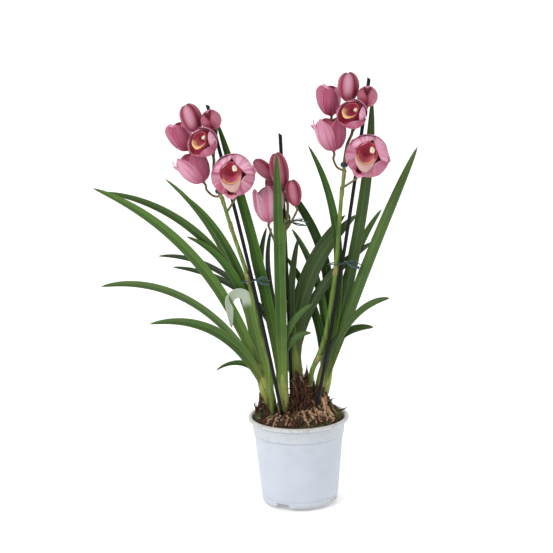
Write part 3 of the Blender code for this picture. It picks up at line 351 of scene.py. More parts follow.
# Moss: azimuth on the rim, its spread, its depth inwards, count of tufts
MOSS = ((182.0, 9.0, 0.004, 260), (352.0, 9.0, 0.0035, 220), (300.0, 14.0, 0.0025, 60), (80.0, 30.0, 0.0035, 160))
# Radius of a tuft of moss from its foot to its tip
TUFT_RADII = (0.0005, 0.0006, 0.0004, 0.0001)
# Grains of perlite in millimetres: x, y
PERLITE = mm(
    (-48, -10), (-46.5, -12.5), (-45.2, 1), (3.6, -35), (7, -10), (-20.5, -31), (31, -26), (42.5, -16.5), (6, 33),
    (-28, 26), (30, 30),
)
# Ties: middle of the loop, half length along x, half width along y, reach of the lower prong
TIES = {
    "left": ((-0.0552, -0.0052, 0.268), 0.0094, 0.006, (0.0155, -0.002, -0.006)),
    "centre": ((-0.0112, 0.0077, 0.334), 0.0056, 0.0091, (0.021, -0.006, -0.004)),
    "right": ((0.0487, -0.0012, 0.286), 0.01, 0.006, (0.019, -0.003, -0.009)),
}
TIE_RADIUS = 0.0009
# Folded strands at each knot: lift, reach
TIE_STRANDS = ((0.0052, 0.72), (0.0018, 0.95), (-0.0022, 0.8))
# Clips: point of the stem and distance past it, length, section as shares of the stem's radius and of the length
CLIP_PLACE, CLIP_DISTANCE, CLIP_LENGTH = 10, 0.007, 0.0048
CLIP_PROFILE = ((1.0, -0.5), (1.5, -0.5), (1.72, -0.2), (1.72, 0.2), (1.5, 0.5), (1.0, 0.5), (1.0, -0.5))

# Stage
FLOOR_CURVE = ((-3.0, 0.0), (1.0, 0.0), (1.6, 0.05), (2.0, 0.3), (2.2, 0.8), (2.2, 3.5))
WORLD_STRENGTH = 0.62
LIT_POINT = (0, 0, 0.25)
# Lights: name, place, size, energy
LIGHTS = (("key", (-1.6, -1.5, 2.2), 1.5, 34.0), ("fill", (1.8, -1.2, 1.4), 1.8, 3.0))
CAMERA_PLACE = (-0.0227, -1.833, 0.661)
CAMERA_LENS, CAMERA_DOWN, CAMERA_ROLL = 104.15, 12.0, -1.2


# ---- Shapes


def unit(v):
    """Vectors scaled to length one along the last axis."""
    return v / np.maximum(np.linalg.norm(v, axis=-1, keepdims=True), 1e-12)


def ramp(count, low=0.0, high=1.0):
    """Evenly spaced values from low to high."""
    return np.linspace(low, high, count)


def ring(count):
    """Evenly spaced angles once round."""
    return ramp(count + 1, 0.0, 2 * pi)[:-1]


def rise(x, start, span):
    """0 up to start, 1 past start + span, straight between."""
    return np.clip((x - start) / span, 0, 1)


def hump(x, wide):
    """A bell of height one about zero."""
    return np.exp(-((x / wide) ** 2))


def xyz(x, y, z):
    """Points from their three coordinates."""
    return np.stack(np.broadcast_arrays(x, y, z), -1)


def polar(radius, angle, z, flat=1.0):
    """Points about the z axis; flat narrows them along y."""
    return xyz(radius * np.cos(angle), radius * flat * np.sin(angle), z)


def about_z(degrees):
    """Matrix of a turn about the z axis."""
    c, s = cos(radians(degrees)), sin(radians(degrees))
    return np.array([[c, -s, 0], [s, c, 0], [0, 0, 1]])


def carried(points, foot, turn):
    """Points turned by a matrix, then moved to foot."""
    return points @ turn.T + foot


def spline(knots, count):
    """Catmull-Rom curve through the knots (any number of values each), evenly spaced in the knots' index."""
    knots = np.asarray(knots, float)
    ends = np.vstack([2 * knots[0] - knots[1], knots, 2 * knots[-1] - knots[-2]])
    place = ramp(count, 0, len(knots) - 1)
    index = np.minimum(place.astype(int), len(knots) - 2)
    t = (place - index)[:, None]
    a, b, c, d = (ends[index + k] for k in range(4))
    return 0.5 * (2 * b + (c - a) * t + (2 * a - 5 * b + 4 * c - d) * t**2 + (3 * b - a - 3 * c + d) * t**3)


class Sheets:
    """Gathers tubes of points into one mesh with a UV map and a four-number point colour named tone."""

    def __init__(self):
        self.points, self.faces, self.uv, self.tone, self.count = [], [], [], [], 0

    def add(self, grid, tone=(0, 0, 0, 0), u=1.0, v=None, caps=True):
        """One tube (rows, columns, 3), closed round its columns. u is its width round, or one value per column and one
        more; v is one value per row; tone is four numbers or grids."""
        rows, columns, _ = grid.shape
        index = self.count + np.arange(rows * columns).reshape(rows, columns)
        index = np.concatenate([index, index[:, :1]], 1)
        u = ramp(columns + 1, 0.0, u) if np.isscalar(u) else u
        v = ramp(rows) if v is None else v
        uv = np.stack(np.broadcast_arrays(u, v[:, None]), -1)
        quads, corners = (np.stack([t[:-1, :-1], t[:-1, 1:], t[1:, 1:], t[1:, :-1]], 2) for t in (index, uv))
        self.faces += quads.reshape(-1, 4).tolist()
        self.uv.append(corners.reshape(-1, 2))
        if caps:
            self.faces += [index[0, -2::-1].tolist(), index[-1, :-1].tolist()]
            self.uv += [uv[0, -2::-1], uv[-1, :-1]]
        self.points.append(grid.reshape(-1, 3))
        self.tone.append(np.stack([np.broadcast_to(t, (rows, columns)) for t in tone], -1).reshape(-1, 4))
        self.count += rows * columns

    def shell(self, middle, thickness, *tone):
        """A thin blade about a sheet: both faces and the rim as one closed tube. tone is three numbers; the fourth is 0
        on its first face and 1 on the other."""
        rows, columns, _ = middle.shape
        normal = unit(np.cross(np.gradient(middle, axis=1), np.gradient(middle, axis=0)))
        u = ramp(columns)
        half = (thickness / 2 * (1 - (1 - SHELL_EDGE) * np.abs(2 * u - 1) ** 4))[:, None]
        tube = np.concatenate([middle + normal * half, (middle - normal * half)[:, ::-1]], 1)
        first, loop = self.count, np.concatenate([u, u[::-1], u[:1]])
        self.add(tube, (*tone, np.repeat([0.0, 1.0], columns)), loop, caps=False)
        near = np.arange(columns - 1)
        far = 2 * columns - 1 - near
        for end, order in ((0, (0, 3, 2, 1)), (1, (0, 1, 2, 3))):
            quads = np.stack([near, near + 1, far - 1, far], 1)[:, order]
            self.faces += (quads + first + end * (rows - 1) * 2 * columns).tolist()
            self.uv.append(np.stack([loop[quads], np.full(quads.shape, end)], -1).reshape(-1, 2))

    def rod(self, path, radius, sides, tone=(0, 0, 0, 0), flat=1.0, twist=0.0):
        """A round or flattened rod: circles across a path's direction; radius per point, the section turned by twist
        radians along it."""
        tangent = unit(np.gradient(path, axis=0))
        away = np.eye(3)[np.argmin(np.abs(tangent).max(axis=0))]
        side = unit(np.cross(tangent, away))
        up = np.cross(side, tangent)
        angles = (ring(sides) + ramp(len(path))[:, None] * twist)[..., None]
        out = side[:, None] * np.cos(angles) + up[:, None] * np.sin(angles) * flat
        self.add(path[:, None] - out * np.broadcast_to(radius, len(path))[:, None, None], tone)

    def piece(self, name, material, nodes, smooth=True):
        """The object of everything gathered, riding on the plant in place of its CAD nodes."""
        mesh = bpy.data.meshes.new(name)
        mesh.from_pydata(np.concatenate(self.points).tolist(), [], self.faces)
        mesh.uv_layers.new(name="UVMap").data.foreach_set("uv", np.concatenate(self.uv).astype(np.float32).ravel())
        tone = mesh.color_attributes.new("tone", "FLOAT_COLOR", "POINT")
        tone.data.foreach_set("color", np.concatenate(self.tone).astype(np.float32).ravel())
        mesh.polygons.foreach_set("use_smooth", [smooth] * len(mesh.polygons))
        mesh.materials.append(MATERIALS[material])
        mesh.update()
        obj = bpy.data.objects.new(name, mesh)
        bpy.context.scene.collection.objects.link(obj)
        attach(obj, "root")
        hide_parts(*nodes)


# ---- Materials


def rgb(*colour):
    """A colour given as display values from 0 to 255, as linear numbers."""
    shown = np.array(colour) / 255
    linear = np.where(shown <= 0.04045, shown / 12.92, ((shown + 0.055) / 1.055) ** 2.4)
    return (*linear.tolist(), 1.0)


def math_node(operation, swapped=False):
    """A method of Value that adds one Math node."""

    def made(self, *others):
        """This value and the others, put through the operation."""
        terms = (*others, self) if swapped else (self, *others)
        return self.graph.node("Math", terms, operation=operation)

    return made


class Value:
    """A node's output that takes part in sums; each sum adds a Math node."""

    __add__ = __radd__ = math_node("ADD")
    __sub__ = math_node("SUBTRACT")
    __rsub__ = math_node("SUBTRACT", True)
    __mul__ = math_node("MULTIPLY")
    sin = math_node("SINE")
    abs = math_node("ABSOLUTE")

    def __init__(self, graph, socket):
        self.graph, self.socket = graph, socket

    def step(self, low, high):
        """0 below low, 1 above high, smooth between."""
        return self.graph.node("MapRange", [self, low, high, 0.0, 1.0], interpolation_type="SMOOTHSTEP")

    def fall(self, low, high):
        """1 below low, 0 above high, smooth between."""
        return 1.0 - self.step(low, high)


class Graph:
    def __init__(self, name):
        self.material = bpy.data.materials.new(name)
        self.material.use_nodes = True
        self.tree = self.material.node_tree

    def feed(self, node, inputs):
        """Links or sets a node's inputs, in order or by name."""
        for key, value in inputs.items() if isinstance(inputs, dict) else enumerate(inputs):
            if isinstance(value, Value):
                self.tree.links.new(value.socket, node.inputs[key])
            elif value is not None:
                node.inputs[key].default_value = value

    def node(self, kind, inputs=(), out=0, **settings):
        """Adds a node with its settings and inputs, and gives one of its outputs."""
        made = self.tree.nodes.new("ShaderNode" + kind)
        for key, value in settings.items():
            setattr(made, key, value)
        self.feed(made, inputs)
        return Value(self, made.outputs[out])

    def parts(self, kind, vector):
        """The separate numbers of a vector or colour."""
        return [Value(self, socket) for socket in self.node(kind, [vector]).socket.node.outputs]

    def place(self):
        """The point on the piece, in metres."""
        return self.node("TexCoord", out="Object")

    def uv(self):
        """The piece's own u and v."""
        return self.parts("SeparateXYZ", self.node("UVMap", uv_map="UVMap"))[:2]

    def tone(self):
        """The four numbers stored on the piece's points."""
        found = self.node("Attribute", out="Color", attribute_name="tone")
        return *self.parts("SeparateColor", found), Value(self, found.socket.node.outputs["Alpha"])

    def noise(self, scale, detail=3.0, rough=0.5, at=None, stretch=None):
        """Noise about the plant, or at a point; stretch is its scale along z."""
        at = at or self.place()
        if stretch:
            at = self.node("VectorMath", [at, (1.0, 1.0, stretch)], operation="MULTIPLY")
        return self.node("TexNoise", {"Vector": at, "Scale": scale, "Detail": detail, "Roughness": rough})

    def streaks(self, x, y, z, detail=3.0, rough=0.55):
        """Noise at a point of three numbers."""
        return self.noise(1.0, detail, rough, self.node("CombineXYZ", [x, y, z]))

    def cells(self, scale):
        """Distance to the nearest of many scattered points."""
        return self.node("TexVoronoi", {"Vector": self.place(), "Scale": scale})

    def mix(self, share, first, second):
        """Colour between two, each one a node's or three display values from 0 to 255."""
        first, second = (rgb(*colour) if isinstance(colour, tuple) else colour for colour in (first, second))
        return self.node("Mix", {0: share, 6: first, 7: second}, 2, data_type="RGBA")

    def over(self, body, *layers):
        """Colours laid over the first one in order, each by its share."""
        for share, colour in layers:
            body = self.mix(share, body, colour)
        return body

    def finish(self, colour, roughness, bump=None, specular=None, **glow):
        """Closes the material; bump is a height, its strength and its distance."""
        normal = self.node("Bump", dict(zip(("Height", "Strength", "Distance"), bump))) if bump else None
        inputs = {"Base Color": colour, "Roughness": roughness, "Normal": normal, "Specular IOR Level": specular}
        self.feed(self.tree.nodes["Principled BSDF"], inputs | {"Emission " + key: glow[key] for key in glow})
        return self.material


def leaf_material(name, mid, deep, pale):
    """Strap leaf: long fine veins, a pale midrib, a painted highlight along both edges, painted shade on one half of
    the blade, a yellow-green streaked foot, dull blotches, and a grey-green back on the folded leaf. tone is random,
    paleness, 1 on a sheath, 1 on the under face."""
    g = Graph(name)
    u, v = g.uv()
    random, paleness, sheath, under = g.tone()
    blotch = g.noise(60.0)
    fine = g.noise(900.0, 2.0, stretch=0.12)
    veins = (u * 95.0 + fine * 2.0).sin() * 0.5 + 0.5
    middle = (u - 0.5).abs()
    edge = middle.step(0.42, 0.5)
    foot = v.fall(0.02, 0.36)
    blade = 1.0 - sheath
    streaks = g.noise(120.0, stretch=0.08).step(0.52, 0.68)
    dry = edge * 0.8 + g.noise(160.0, 4.0).step(0.6, 0.75) + v.fall(0.0, 0.22) * 0.8
    wrap = g.over(
        g.mix(v.step(0.25, 1.0), (158, 172, 92), (104, 134, 54)),
        (veins * 0.3, (92, 118, 44)),
        (dry * 0.8, (128, 92, 58)),
    )
    body = g.over(
        g.mix((random * 0.9 + blotch * 0.7 - 0.35).step(0.1, 0.9), deep, mid),
        (paleness * 0.75, pale),
        (veins * 0.1, pale),
        # pale midrib, and a painted highlight along both edges of the blade
        (middle.fall(0.012, 0.05) * 0.26 + edge * 0.44, (136, 160, 92)),
        # painted shade: one half of the blade darker, beside the midrib's fold
        (u.fall(0.47, 0.5) * 0.34, (20, 44, 12)),
        (under * 0.22, (112, 134, 84)),
        ((paleness - 0.9).step(0.0, 0.1) * v.step(0.6, 0.66), g.mix(veins, (166, 182, 158), (196, 206, 188))),
        (foot * 0.62 * blade, (128, 150, 66)),
        (foot * streaks * 0.4 * blade, (116, 88, 54)),
        (sheath, wrap),
        (v.step(0.975, 1.0) * blade * 0.55, (120, 100, 60)),
    )
    rough = 0.4 + blotch * 0.14 + sheath * 0.12
    return g.finish(body, rough, (veins * 0.5 + fine * 0.4, 0.3, 0.0003), 0.24)


def stem_material(name):
    """Flower stem. tone is brownness, paleness of a bract."""
    g = Graph(name)
    brown, bract, _, _ = g.tone()
    streak = g.noise(420.0, stretch=0.1)
    soft = streak.step(0.3, 0.7)
    body = g.over(
        g.mix(soft, (72, 100, 32), (118, 144, 56)),
        (brown, g.mix(soft, (66, 50, 30), (126, 98, 62))),
        (g.cells(1500.0).fall(0.1, 0.3) * 0.25, (96, 80, 40)),
        (bract, g.mix(g.noise(700.0, stretch=0.2).step(0.35, 0.7), (112, 100, 54), (178, 172, 110))),
    )
    return g.finish(body, 0.42 + streak * 0.2, (streak, 0.25, 0.0003), 0.4)


def petal_material(name):
    """Petal: soft streaks and fine veins along it, painted light down the middle of the outer face, a pale rim, deep
    rose at the foot, darker inside the cup, and whitish painted highlights in streaks inside the brightest petals. tone
    is brightness (partly the petal's own paleness, partly painted light), random, stripes, and 1 on the inner face."""
    g = Graph(name)
    u, v = g.uv()
    bright, random, striped, inner = g.tone()
    side = (u - 0.5).abs() * 2.0
    streak = g.streaks(u * 9.0 + random * 17.0, v * 1.1, random * 9.0)
    soft = streak.step(0.25, 0.75)
    bands = g.streaks(u * 10.0 + random * 31.0, v * 0.6, random * 5.0, 2.0, 0.5).step(0.36, 0.64)
    vein = ((u * 62.0 + streak * 5.0).sin() * 0.5 + 0.5).step(0.45, 1.0)
    outer = g.over(
        g.mix(soft, (142, 44, 72), (186, 92, 124)),
        # painted light down the middle of the outer face
        (side.fall(0.0, 0.8) * v.step(0.1, 0.6) * (0.22 + bright * 0.55), (218, 162, 186)),
        (v.fall(0.0, 0.34) * 0.45, (156, 70, 88)),
        # paler pink on the brightest petals: partly their own colour, partly painted light
        (bright * v.step(0.05, 0.55) * 0.85, g.mix(soft, (216, 126, 164), (244, 204, 220))),
    )
    inside = g.over(
        g.mix(soft, (196, 92, 126), (232, 162, 190)),
        # whitish painted highlights in streaks inside the brightest petals
        (bright.step(0.5, 1.0) * 0.7 * streak.step(0.15, 0.7), (246, 208, 224)),
        (v.fall(0.25, 0.7), (224, 92, 120)),
    )
    body = g.over(
        g.mix(inner, outer, inside),
        (striped * bands * 0.6, (190, 80, 118)),
        (striped * (1.0 - bands) * 0.55 * v.step(0.1, 0.4), (246, 218, 228)),
        (vein * (0.1 + bright * 0.08), (156, 50, 90)),
        ((side.step(0.88, 1.0) + v.step(0.95, 1.0)) * 0.35, (232, 180, 200)),
        (side.step(0.62, 0.84) * side.fall(0.84, 0.93) * 0.3, (158, 48, 84)),
    )
    return g.finish(body, 0.5 + streak * 0.15, (vein * -0.3 + streak, 0.3, 0.0005), 0.18)


def bud_material(name):
    """Closed bud: a painted highlight down the middle of each sepal, crimson painted shade in the creases along the
    seams, brownish at the foot and painted shade in the tip's dimple. tone is brownness with each sepal's painted shade
    added, random, nearness of a seam, middle of a sepal."""
    g = Graph(name)
    u, v = g.uv()
    brown, random, seam, middle = g.tone()
    streak = g.streaks(u * 30.0 + random * 17.0, v * 1.4, random * 9.0)
    # painted highlight down the middle of each sepal
    pale = middle * v.step(0.06, 0.45) * (1.0 - v.step(0.8, 1.0) * 0.4) * (1.0 - brown * 0.75)
    body = g.over(
        g.mix(streak.step(0.25, 0.75), (146, 50, 72), (182, 88, 112)),
        (pale * 0.7, (220, 168, 188)),
        # painted shade in the creases along the seams
        (seam * 0.85, (112, 26, 46)),
        (v.fall(0.0, 0.18) * 0.55, (116, 62, 50)),
        # brownness, with the painted shade of the side sepals in it
        (brown * 0.3, (124, 52, 60)),
        # painted shade in the tip's dimple
        (v.step(0.955, 0.99) * 0.7, (90, 20, 40)),
    )
    return g.finish(body, 0.38 + streak * 0.16, (streak, 0.25, 0.0005), 0.24)


def lip_material(name):
    """Lip: rosy bowl with streaks, crimson margin, yellow crescent inside the front, beige tongue, small spots. The
    first tone number turns the tongue golden."""
    g = Graph(name)
    u, v = g.uv()
    golden, _, _, _ = g.tone()
    side = (u - 0.5).abs() * 2.0
    blur = g.noise(350.0)
    streak = g.streaks(u * 16.0, v * 2.0, 3.0)
    band = v.step(0.33, 0.41) * v.fall(0.555, 0.58) * side.fall(0.3, 0.46)
    margin = side.step(0.34, 0.46) * v.step(0.4, 0.52)
    edge = v.step(0.565, 0.59) * v.fall(0.63, 0.66)
    tongue = g.mix(golden * 0.8, g.mix(blur, (196, 146, 144), (216, 182, 170)), (242, 196, 124))
    body = g.over(
        g.mix(v.step(0.02, 0.3), (206, 92, 124), (222, 126, 150)),
        (streak.step(0.35, 0.75) * 0.6 * v.step(0.05, 0.3), (242, 182, 180)),
        (side.step(0.4, 0.72) * v.fall(0.52, 0.58) * 0.8, g.mix(streak, (140, 30, 58), (176, 58, 84))),
        (band, g.mix(streak, (240, 186, 92), (250, 226, 160))),
        (v.step(0.64, 0.68), tongue),
        (margin * 0.85 + edge * (1.0 - margin) * (0.9 - golden * 0.5), (150, 26, 54)),
        (g.cells(900.0).fall(0.12, 0.28) * 0.22 * (1.0 - band), (150, 36, 62)),
    )
    return g.finish(body, 0.58 + blur * 0.15, (blur, 0.3, 0.0004), 0.18)


def column_material(name):
    """Column: rosy foot, cream above, and a groove under its cap."""
    g = Graph(name)
    u, v = g.uv()
    blur = g.noise(500.0)
    body = g.over(
        g.mix(v.step(0.35, 0.62), (176, 60, 84), (250, 240, 212)),
        (blur.step(0.55, 0.8) * 0.3, (226, 190, 150)),
        ((u - 0.5).abs().fall(0.02, 0.06) * v.step(0.72, 0.8) * 0.55, (176, 120, 96)),
    )
    return g.finish(body, 0.36, (blur, 0.2, 0.0003))


def stake_material(name):
    """Black plastic rod with drawn lines and dusty scuffs."""
    g = Graph(name)
    lines = g.noise(900.0, 2.0, stretch=0.03)
    dust = g.noise(90.0, 5.0).step(0.52, 0.75)
    body = g.mix(dust * 0.15, g.mix(lines * 0.5, (10, 11, 16), (22, 24, 33)), (78, 78, 82))
    return g.finish(body, 0.3 + lines * 0.14 + dust * 0.2, (lines, 0.3, 0.0003), 0.22)


def tie_material(name, deep, pale):
    """Creased film between two colours."""
    g = Graph(name)
    crease = g.noise(900.0, 4.0)
    return g.finish(g.mix(crease.step(0.3, 0.7), deep, pale), 0.42, (crease, 0.4, 0.0004))


def pot_material(name):
    """Pale blue-grey moulded plastic: faint clouding, thin scuffs and dust on the collar, dirt on the rim, thin lines
    of painted shade at the collar's step, under the rim and at the step above the foot, and painted shade on the
    underside within the foot."""
    g = Graph(name)
    place = g.place()
    z = g.parts("SeparateXYZ", place)[2]
    level = g.node("VectorMath", [place, (1.0, 1.0, 0.0)], operation="MULTIPLY")
    wide = g.node("VectorMath", [level], 1, operation="LENGTH")
    cloud = g.noise(38.0, 5.0)
    scuff = g.noise(150.0, 6.0, 0.65, stretch=2.6).step(0.54, 0.7)
    dirt = g.noise(210.0, 5.0, 0.6).step(0.48, 0.7)
    dust = g.noise(70.0, 6.0, 0.7).step(0.5, 0.74)
    specks = g.cells(170.0).fall(0.04, 0.12) * g.noise(24.0, 2.0).step(0.46, 0.6)
    rim = z.step(0.0974, 0.099)

    def band(low, full, end, high):
        """1 between two heights, smooth at both ends."""
        return z.step(low, full) * z.fall(end, high)

    collar = band(0.0815, 0.0835, 0.097, 0.0985)
    body = g.over(
        g.mix(cloud.step(0.2, 0.85), (196, 203, 214), (205, 211, 221)),
        (collar * scuff * 0.55, (170, 160, 148)),
        (collar * 0.3, (204, 206, 208)),
        # thin line of painted shade at the step under the collar
        (band(0.0806, 0.0812, 0.0822, 0.083) * 0.45, (142, 146, 154)),
        # thin line of painted shadow under the rolled rim
        (band(0.0945, 0.0968, 0.0968, 0.098) * 0.4, (130, 130, 132)),
        (rim, g.mix(dirt * 0.55, (206, 207, 207), (160, 146, 130))),
        # painted shade on the underside within the foot, where the channels look into the hollow
        (wide.fall(0.0415, 0.0432) * z.fall(0.0054, 0.0062) * 0.85, (70, 72, 76)),
        # thin line of painted shade at the step above the foot
        (band(0.0066, 0.0074, 0.008, 0.009) * 0.25, (150, 154, 160)),
        (dust * z.step(0.045, 0.085) * (1.0 - rim) * 0.4, (172, 164, 152)),
        (specks * 0.45, (140, 122, 104)),
        (z.fall(0.0, 0.006) * g.noise(300.0).step(0.45, 0.7) * 0.4, (150, 132, 112)),
    )
    height = g.noise(1500.0, 2.0) * 0.25 + scuff * 0.5
    return g.finish(body, 0.36 + cloud * 0.16 + dirt * 0.1, (height, 0.18, 0.0003), 0.45)


def bark_material(name):
    """Damp bark and fibre: brown noise with reddish flecks. tone is random, reddishness, tan share."""
    g = Graph(name)
    random, red, pale, _ = g.tone()
    coarse = g.noise(420.0, 6.0, 0.65)
    fibre = g.noise(1400.0, 4.0, 0.6, stretch=0.25)
    body = g.over(
        g.mix(coarse.step(0.3, 0.72), (34, 24, 18), (96, 70, 52)),
        (random * 0.6, (74, 54, 40)),
        (red * 0.5, (120, 76, 54)),
        (pale * 0.85, g.mix(fibre, (150, 118, 86), (206, 176, 138))),
    )
    return g.finish(body, 0.84, (coarse * 0.7 + fibre * 0.3, 0.7, 0.001), 0.25)


def root_material(name):
    """Dry roots: tan skin, darker worn patches, greenish and pinkish shares. tone is random, greenness."""
    g = Graph(name)
    random, green, _, _ = g.tone()
    patch = g.noise(220.0, 5.0, 0.6)
    fine = g.noise(1600.0)
    body = g.over(
        g.mix(patch.step(0.34, 0.66), (128, 94, 68), (206, 172, 138)),
        (random * 0.45, (192, 146, 118)),
        (green * 0.8, (128, 122, 78)),
    )
    return g.finish(body, 0.7 + fine * 0.2, (fine * 0.5 + patch * 0.5, 0.6, 0.0006), 0.25)


def moss_material(name):
    """Dull green moss. The first tone number is random."""
    g = Graph(name)
    blur = g.noise(600.0)
    body = g.mix(g.tone()[0] * 0.7 + blur * 0.3, (54, 66, 30), (104, 112, 56))
    return g.finish(body, 0.85, (blur, 0.4, 0.0005))


def perlite_material(name):
    """Off-white grains."""
    g = Graph(name)
    blur = g.noise(900.0, 4.0)
    return g.finish(g.mix(blur, (206, 204, 196), (246, 246, 242)), 0.8, (blur, 0.6, 0.0005))


MATERIALS = {
    "leaf": leaf_material("leaf_green", (58, 98, 26), (28, 58, 14), (104, 136, 62)),
    # the leaf colours again, darker: painted shade for the shoot at the back
    "dark_leaf": leaf_material("leaf_painted_shade", (42, 66, 28), (22, 42, 16), (78, 102, 54)),
    "stem": stem_material("stem_green"),
    "petal": petal_material("petal_pink"),
    "bud": bud_material("bud_rose"),
    "lip": lip_material("lip_crimson"),
    "column": column_material("column_cream"),
    "stake": stake_material("stake_black"),
    "tie": tie_material("tie_teal", (34, 56, 58), (74, 104, 100)),
    "clip": tie_material("clip_dark", (20, 26, 30), (46, 58, 62)),
    "pot": pot_material("pot_plastic"),
    "bark": bark_material("bark_brown"),
    "root": root_material("root_tan"),
    "moss": moss_material("moss_green"),
    "perlite": perlite_material("perlite_white"),
}


# ---- Leaves and shoots


def leaf_sheet(foot, shape, fold=(0.0, 1.0), rows=LEAF_ROWS):
    """A strap leaf's sheet: the midrib leans from its foot value to its tip value along the length, the blade is turned
    by facing degrees and folded up along the midrib."""
    azimuth, length, width, lean_foot, lean_tip, bend, facing, turn = shape
    share = ramp(rows + 1)
    lean = np.radians(lean_foot + (lean_tip - lean_foot) * rise(share, fold[0], fold[1] - fold[0]) ** bend)
    around = np.radians(azimuth + turn * share)
    heading = polar(np.sin(lean), around, np.cos(lean))
    steps = (heading[1:] + heading[:-1]) / 2 * length / rows
    path = np.vstack([np.zeros(3), np.cumsum(steps, 0)]) + foot
    level = xyz(-np.sin(around), np.cos(around), 0)
    across = cos(radians(facing)) * level + sin(radians(facing)) * np.cross(heading, level)
    face = np.cross(across, heading)
    widen = LEAF_FOOT_WIDTH + (1 - LEAF_FOOT_WIDTH) * rise(share, 0, LEAF_FULL_WIDTH_AT)
    power, roundness = LEAF_TIP_POWERS
    half = width / 2 * widen * np.maximum(1 - share**power, 0.0) ** roundness
    half = np.maximum(half, LEAF_LEAST_HALF)[:, None, None]
    span = ramp(LEAF_COLUMNS, -1)[:, None]
    keel = face[:, None] * half * 2 * LEAF_KEEL * (1 - np.abs(span) ** 1.4)
    return path[:, None] + across[:, None] * half * span - keel


def on_bulb(shoot, radius, angle, height):
    """Points about a shoot's foot: circles narrowed along y, their centres leaning along x with height."""
    x, y, z, lean, _ = SHOOTS[shoot]
    return polar(radius, angle, height, BULB_FLATNESS) + xyz(x + height * tan(radians(lean)), y, z)


def sheath_sheet(shoot, start, tall, swell, centre, half_angle):
    """A leaf base clasping the bulb: its radius is the bulb's times swell, and its half angle shrinks with height, by
    the root of one less a power, to a point at the top."""
    radius = SHOOTS[shoot][-1]
    along = ramp(26)[:, None]
    height = start + tall * along
    body = np.interp(height, np.array(BULB_RINGS) * BULB_LENGTH, BULB_SWELL) * radius
    spread = radians(half_angle) * np.sqrt(np.clip(1.02 - along**2.6, 0, 1))
    angle = radians(centre) + ramp(15, -1) * spread
    return on_bulb(shoot, np.maximum(body, radius * 0.4) * swell + 0.0004, angle, height)


def build_shoots():
    """Each shoot's swollen foot, a profile turned about its leaning axis, the sheaths about it, and its leaves."""
    rng = np.random.default_rng(SHOOT_SEED)
    for shoot, (x, y, z, _, radius) in SHOOTS.items():
        sheets = Sheets()
        profile = spline(np.stack([BULB_RINGS, BULB_SWELL], 1), 40)
        bulb = on_bulb(shoot, profile[:, 1:] * radius * 0.98, ring(BULB_SIDES), profile[:, :1] * BULB_LENGTH)
        sheets.add(bulb, (0.5, 0, 1, 0), 3.0)
        for start, tall, out, centre, half_angle in SHEATHS:
            sheet = sheath_sheet(shoot, start, tall, out, centre + rng.uniform(-12, 12), half_angle)
            sheets.shell(sheet, SHEATH_THICKNESS, rng.uniform(), 0.2, 1.0)
        for *shape, offset, turn, pale in LEAVES[shoot]:
            sheets.shell(leaf_sheet((x, y + offset, z), (*shape, turn)), LEAF_THICKNESS, rng.uniform(), pale, 0.0)
        if shoot == "left":
            *shape, start, end, facing = FOLD_LEAF
            foot = (x + FOLD_OFFSET[0], y + FOLD_OFFSET[1], z)
            sheet = leaf_sheet(foot, (*shape, 1.0, facing, 0.0), (start, end), 110)
            sheets.shell(sheet, LEAF_THICKNESS, 0.4, 1.0, 0.0)
        # the back shoot takes the darker copy of the leaf colours, as painted shade
        green = "dark_leaf" if shoot == "back" else "leaf"
        sheets.piece("leaves_" + shoot, green, ["shoot_" + shoot])


# ---- Spikes and blooms


def frame_along(aim):
    """A turn that takes +Z to aim, keeping the bloom's own +Y near the world's up."""
    axis = Vector(aim).normalized()
    up = Vector((0, 0, 1)) if abs(axis.z) < 0.9 else Vector((0, -1, 0))
    side = up.cross(axis).normalized()
    return np.array([side, axis.cross(side), axis]).T


def spike_turn(side):
    """The turn about Y that carries the right spike's own directions to the given side."""
    angle = radians(LEFT_TURN if side == "left" else 0.0)
    return np.array([[cos(angle), 0, sin(angle)], [0, 1, 0], [-sin(angle), 0, cos(angle)]])


def turned(points, side):
    """Points of the right spike's frame carried to the given side."""
    return carried(np.array(points), LEFT_SHIFT if side == "left" else (0, 0, 0), spike_turn(side))


def stem_spine(side):
    """The stem's axis with its radius: x, y, z, radius per point. The left one is the right one turned, with its own
    foot, and pushed aside by a bell about one height."""
    rows = np.array(CENTRE_PATH if side == "centre" else SPIKE_PATH)
    rows[:, :3] = turned(rows[:, :3], side)
    if side == "left":
        rows[:2, :3] = LEFT_FOOT
        rows[:, :2] -= hump(rows[:, 2:3] - CLEAR_HEIGHT, CLEAR_REACH) * CLEAR_SHIFT
    return rows


def tepal_sheet(radius, height, row, point, ripple):
    """One petal or sepal. Its middle line rises from the foot over the body's widest part to its own shoulder and tip;
    across, it is an arc about the body, tilted so that one edge overlaps the next petal."""
    azimuth, reach, wide, shoulder, tip, tilt, flare, _ = row
    rows, columns = TEPAL_GRID
    line = spline((*TEPAL_FOOT, shoulder, tip), rows)
    along, across = ramp(rows)[:, None], ramp(columns, -1)
    out, up = line[:, :1] * radius * reach, line[:, 1:] * height
    slope = unit(np.concatenate([np.gradient(up, axis=0), -np.gradient(out, axis=0)], 1))
    width = wide * radius * np.sin(pi * np.clip(0.1 + 0.895 * along**1.25, 0, 1)) ** point
    bend = radius * (0.8 + 0.25 * along)
    angle = across * width / bend
    lift = radius * (tilt * across * np.minimum(along * 2, 1) + flare * across**2 * along**3)
    lift = lift + radius * 0.012 * np.sin(across * 6 + ripple) * along**2 - bend * (1 - np.cos(angle))
    lift = lift + radius * 0.02 * hump(across, 0.16) * along * (1 - along) * 2
    points = xyz(out + slope[:, :1] * lift, bend * np.sin(angle), up + slope[:, 1:] * lift + TEPAL_LIFT)
    return points @ about_z(azimuth).T


